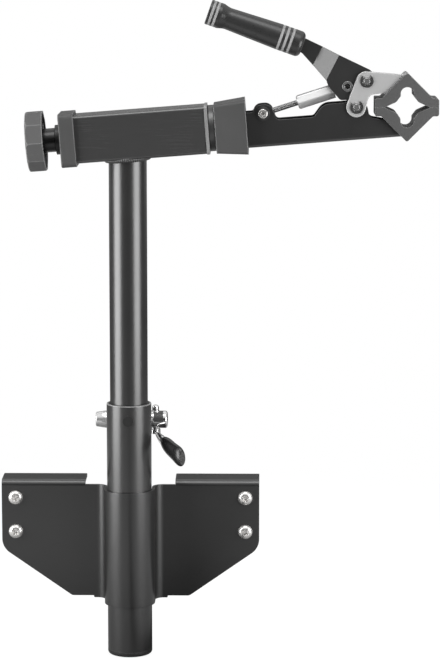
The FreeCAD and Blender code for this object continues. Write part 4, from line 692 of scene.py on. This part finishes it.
# Soft boxes: name, spot, aim, width, height, strength in watts
boxes = (
    ("leftBox", (-0.95, -0.43, 0.24), (0, 0, 0.22), 0.78, 0.82, 13.6),
    ("rightBox", (0.90, -0.60, 0.28), (0, 0, 0.26), 0.72, 0.74, 10.2),
    ("topBox", (0.1, -0.5, 1.6), (0.1, 0, 0.2), 1.0, 0.7, 7.5),
    ("highBox", (-0.86, -0.50, 0.95), (0.1, 0, 0.44), 0.40, 0.34, 2.6),
    ("backBox", (0.25, 1.3, 0.75), (0.05, 0, 0.2), 1.1, 1.1, 16.0),
)


def softBox(name, spot, aim, width, height, watts):
    data = bpy.data.lights.new(name, "AREA")
    data.shape = "RECTANGLE"
    data.size = width
    data.size_y = height
    data.energy = watts
    lamp = bpy.data.objects.new(name, data)
    lamp.location = spot
    lamp.rotation_euler = (Vector(aim) - Vector(spot)).to_track_quat("-Z", "Y").to_euler()
    # the lamp behind only fills; it leaves no bright lines on the outlines
    lamp.visible_glossy = spot[1] < 0
    bpy.context.scene.collection.objects.link(lamp)


for box in boxes:
    softBox(*box)


# Studio: white to the camera; in reflections pale above the object and low behind it, dim elsewhere.
# Each span is where a level changes, along Y (away from the camera) or along Z (up)
studio = {
    "front": 0.06, "back": 0.08, "roomSpan": (-0.35, 0.45),
    "above": 1.0, "aboveSpan": (0.28, 0.72),
    "skyline": 0.7, "skylineSpan": (0.08, 0.14), "skylineBehind": 0.5,
    "ambientFront": 0.12, "ambientBack": 0.30, "ambientSpan": (-0.5, 0.8)}


def makeWorld():
    world = bpy.data.worlds.new("studio")
    n = Nodes(world)
    way = n.node("TexCoord", out="Generated")
    ahead = n.part(way, "Y")
    up = n.part(way, "Z")
    walls = n.slope(ahead, studio["roomSpan"], studio["front"], studio["back"])
    ceiling = n.slope(up, studio["aboveSpan"], 0.0, studio["above"])
    skyline = n.slope(up, studio["skylineSpan"], studio["skyline"], 0.0) * (ahead > studio["skylineBehind"])
    room = walls | ceiling | skyline
    ambient = n.slope(ahead, studio["ambientSpan"], studio["ambientFront"], studio["ambientBack"])
    mirrored = n.node("LightPath", out="Is Glossy Ray") | n.node("LightPath", out="Is Transmission Ray")
    level = n.node("Mix", {"data_type": "FLOAT"}, {0: mirrored, 2: ambient, 3: room})
    eye = n.node("LightPath", out="Is Camera Ray")
    level = n.node("Mix", {"data_type": "FLOAT"}, {0: eye, 2: level, 3: 1.0})
    n.close(n.node("Background", None, {"Color": shade(1), "Strength": level}), "World")
    bpy.context.scene.world = world


makeWorld()


# Pale floor under the foot of the sleeve; it shows white and keeps a faint shadow near the object.
# What reflections see of it dips near the foot, fades far away and has a dark strip to the right
floorLook = {
    "size": 8.0, "drop": 0.0004, "paper": 0.14, "lit": 0.14, "glow": 0.90, "whiteSpan": (0.3, 0.9),
    "dip": 0.40, "dipSpan": (0.12, 0.50), "middle": 0.72, "away": 0.07, "awaySpan": (0.80, 1.40),
    "strip": 0.0, "stripAt": 0.054, "stripHalf": 0.062}


def floorPaper():
    f = Finish("floorPaper")
    reach = f.node("VectorMath", {"operation": "LENGTH"}, {0: f.place}, "Value")
    shadow = f.node("BsdfDiffuse", None, {"Color": shade(floorLook["lit"])})
    glow = f.node("Emission", None, {"Color": shade(1), "Strength": floorLook["glow"]})
    near = f.node("AddShader", None, {0: shadow, 1: glow})
    white = f.node("Emission", None, {"Color": shade(1), "Strength": 1.0})
    seen = f.node("MixShader", None, {0: f.slope(reach, floorLook["whiteSpan"]), 1: near, 2: white})
    across = f.part(f.place, "X") - floorLook["stripAt"]
    strip = f.slope(across * across, (0.0, floorLook["stripHalf"] ** 2), floorLook["strip"], 1.0)
    lit = f.slope(reach, floorLook["awaySpan"], floorLook["middle"], floorLook["away"])
    lit = lit * f.slope(reach, floorLook["dipSpan"], floorLook["dip"], 1.0) * strip
    tint = f.node("CombineColor", None, {0: lit, 1: lit, 2: lit})
    mirrored = f.node("Emission", None, {"Color": tint, "Strength": 1.0})
    paper = f.node("BsdfDiffuse", None, {"Color": shade(floorLook["paper"])})
    hidden = f.node("MixShader", None, {0: f.node("LightPath", out="Is Glossy Ray"), 1: paper, 2: mirrored})
    eye = f.node("LightPath", out="Is Camera Ray")
    return f.finish(f.node("MixShader", None, {0: eye, 1: hidden, 2: seen}))


def makeFloor():
    bpy.ops.object.select_all(action="DESELECT")
    level = cadBox[0].z - floorLook["drop"]
    bpy.ops.mesh.primitive_plane_add(size=floorLook["size"], location=(0, 0, level))
    floor = bpy.context.object
    floor.name = "floor"
    floor.data.materials.append(floorPaper())


makeFloor()
bpy.context.scene.view_settings.view_transform = "Standard"

print("scene ready")
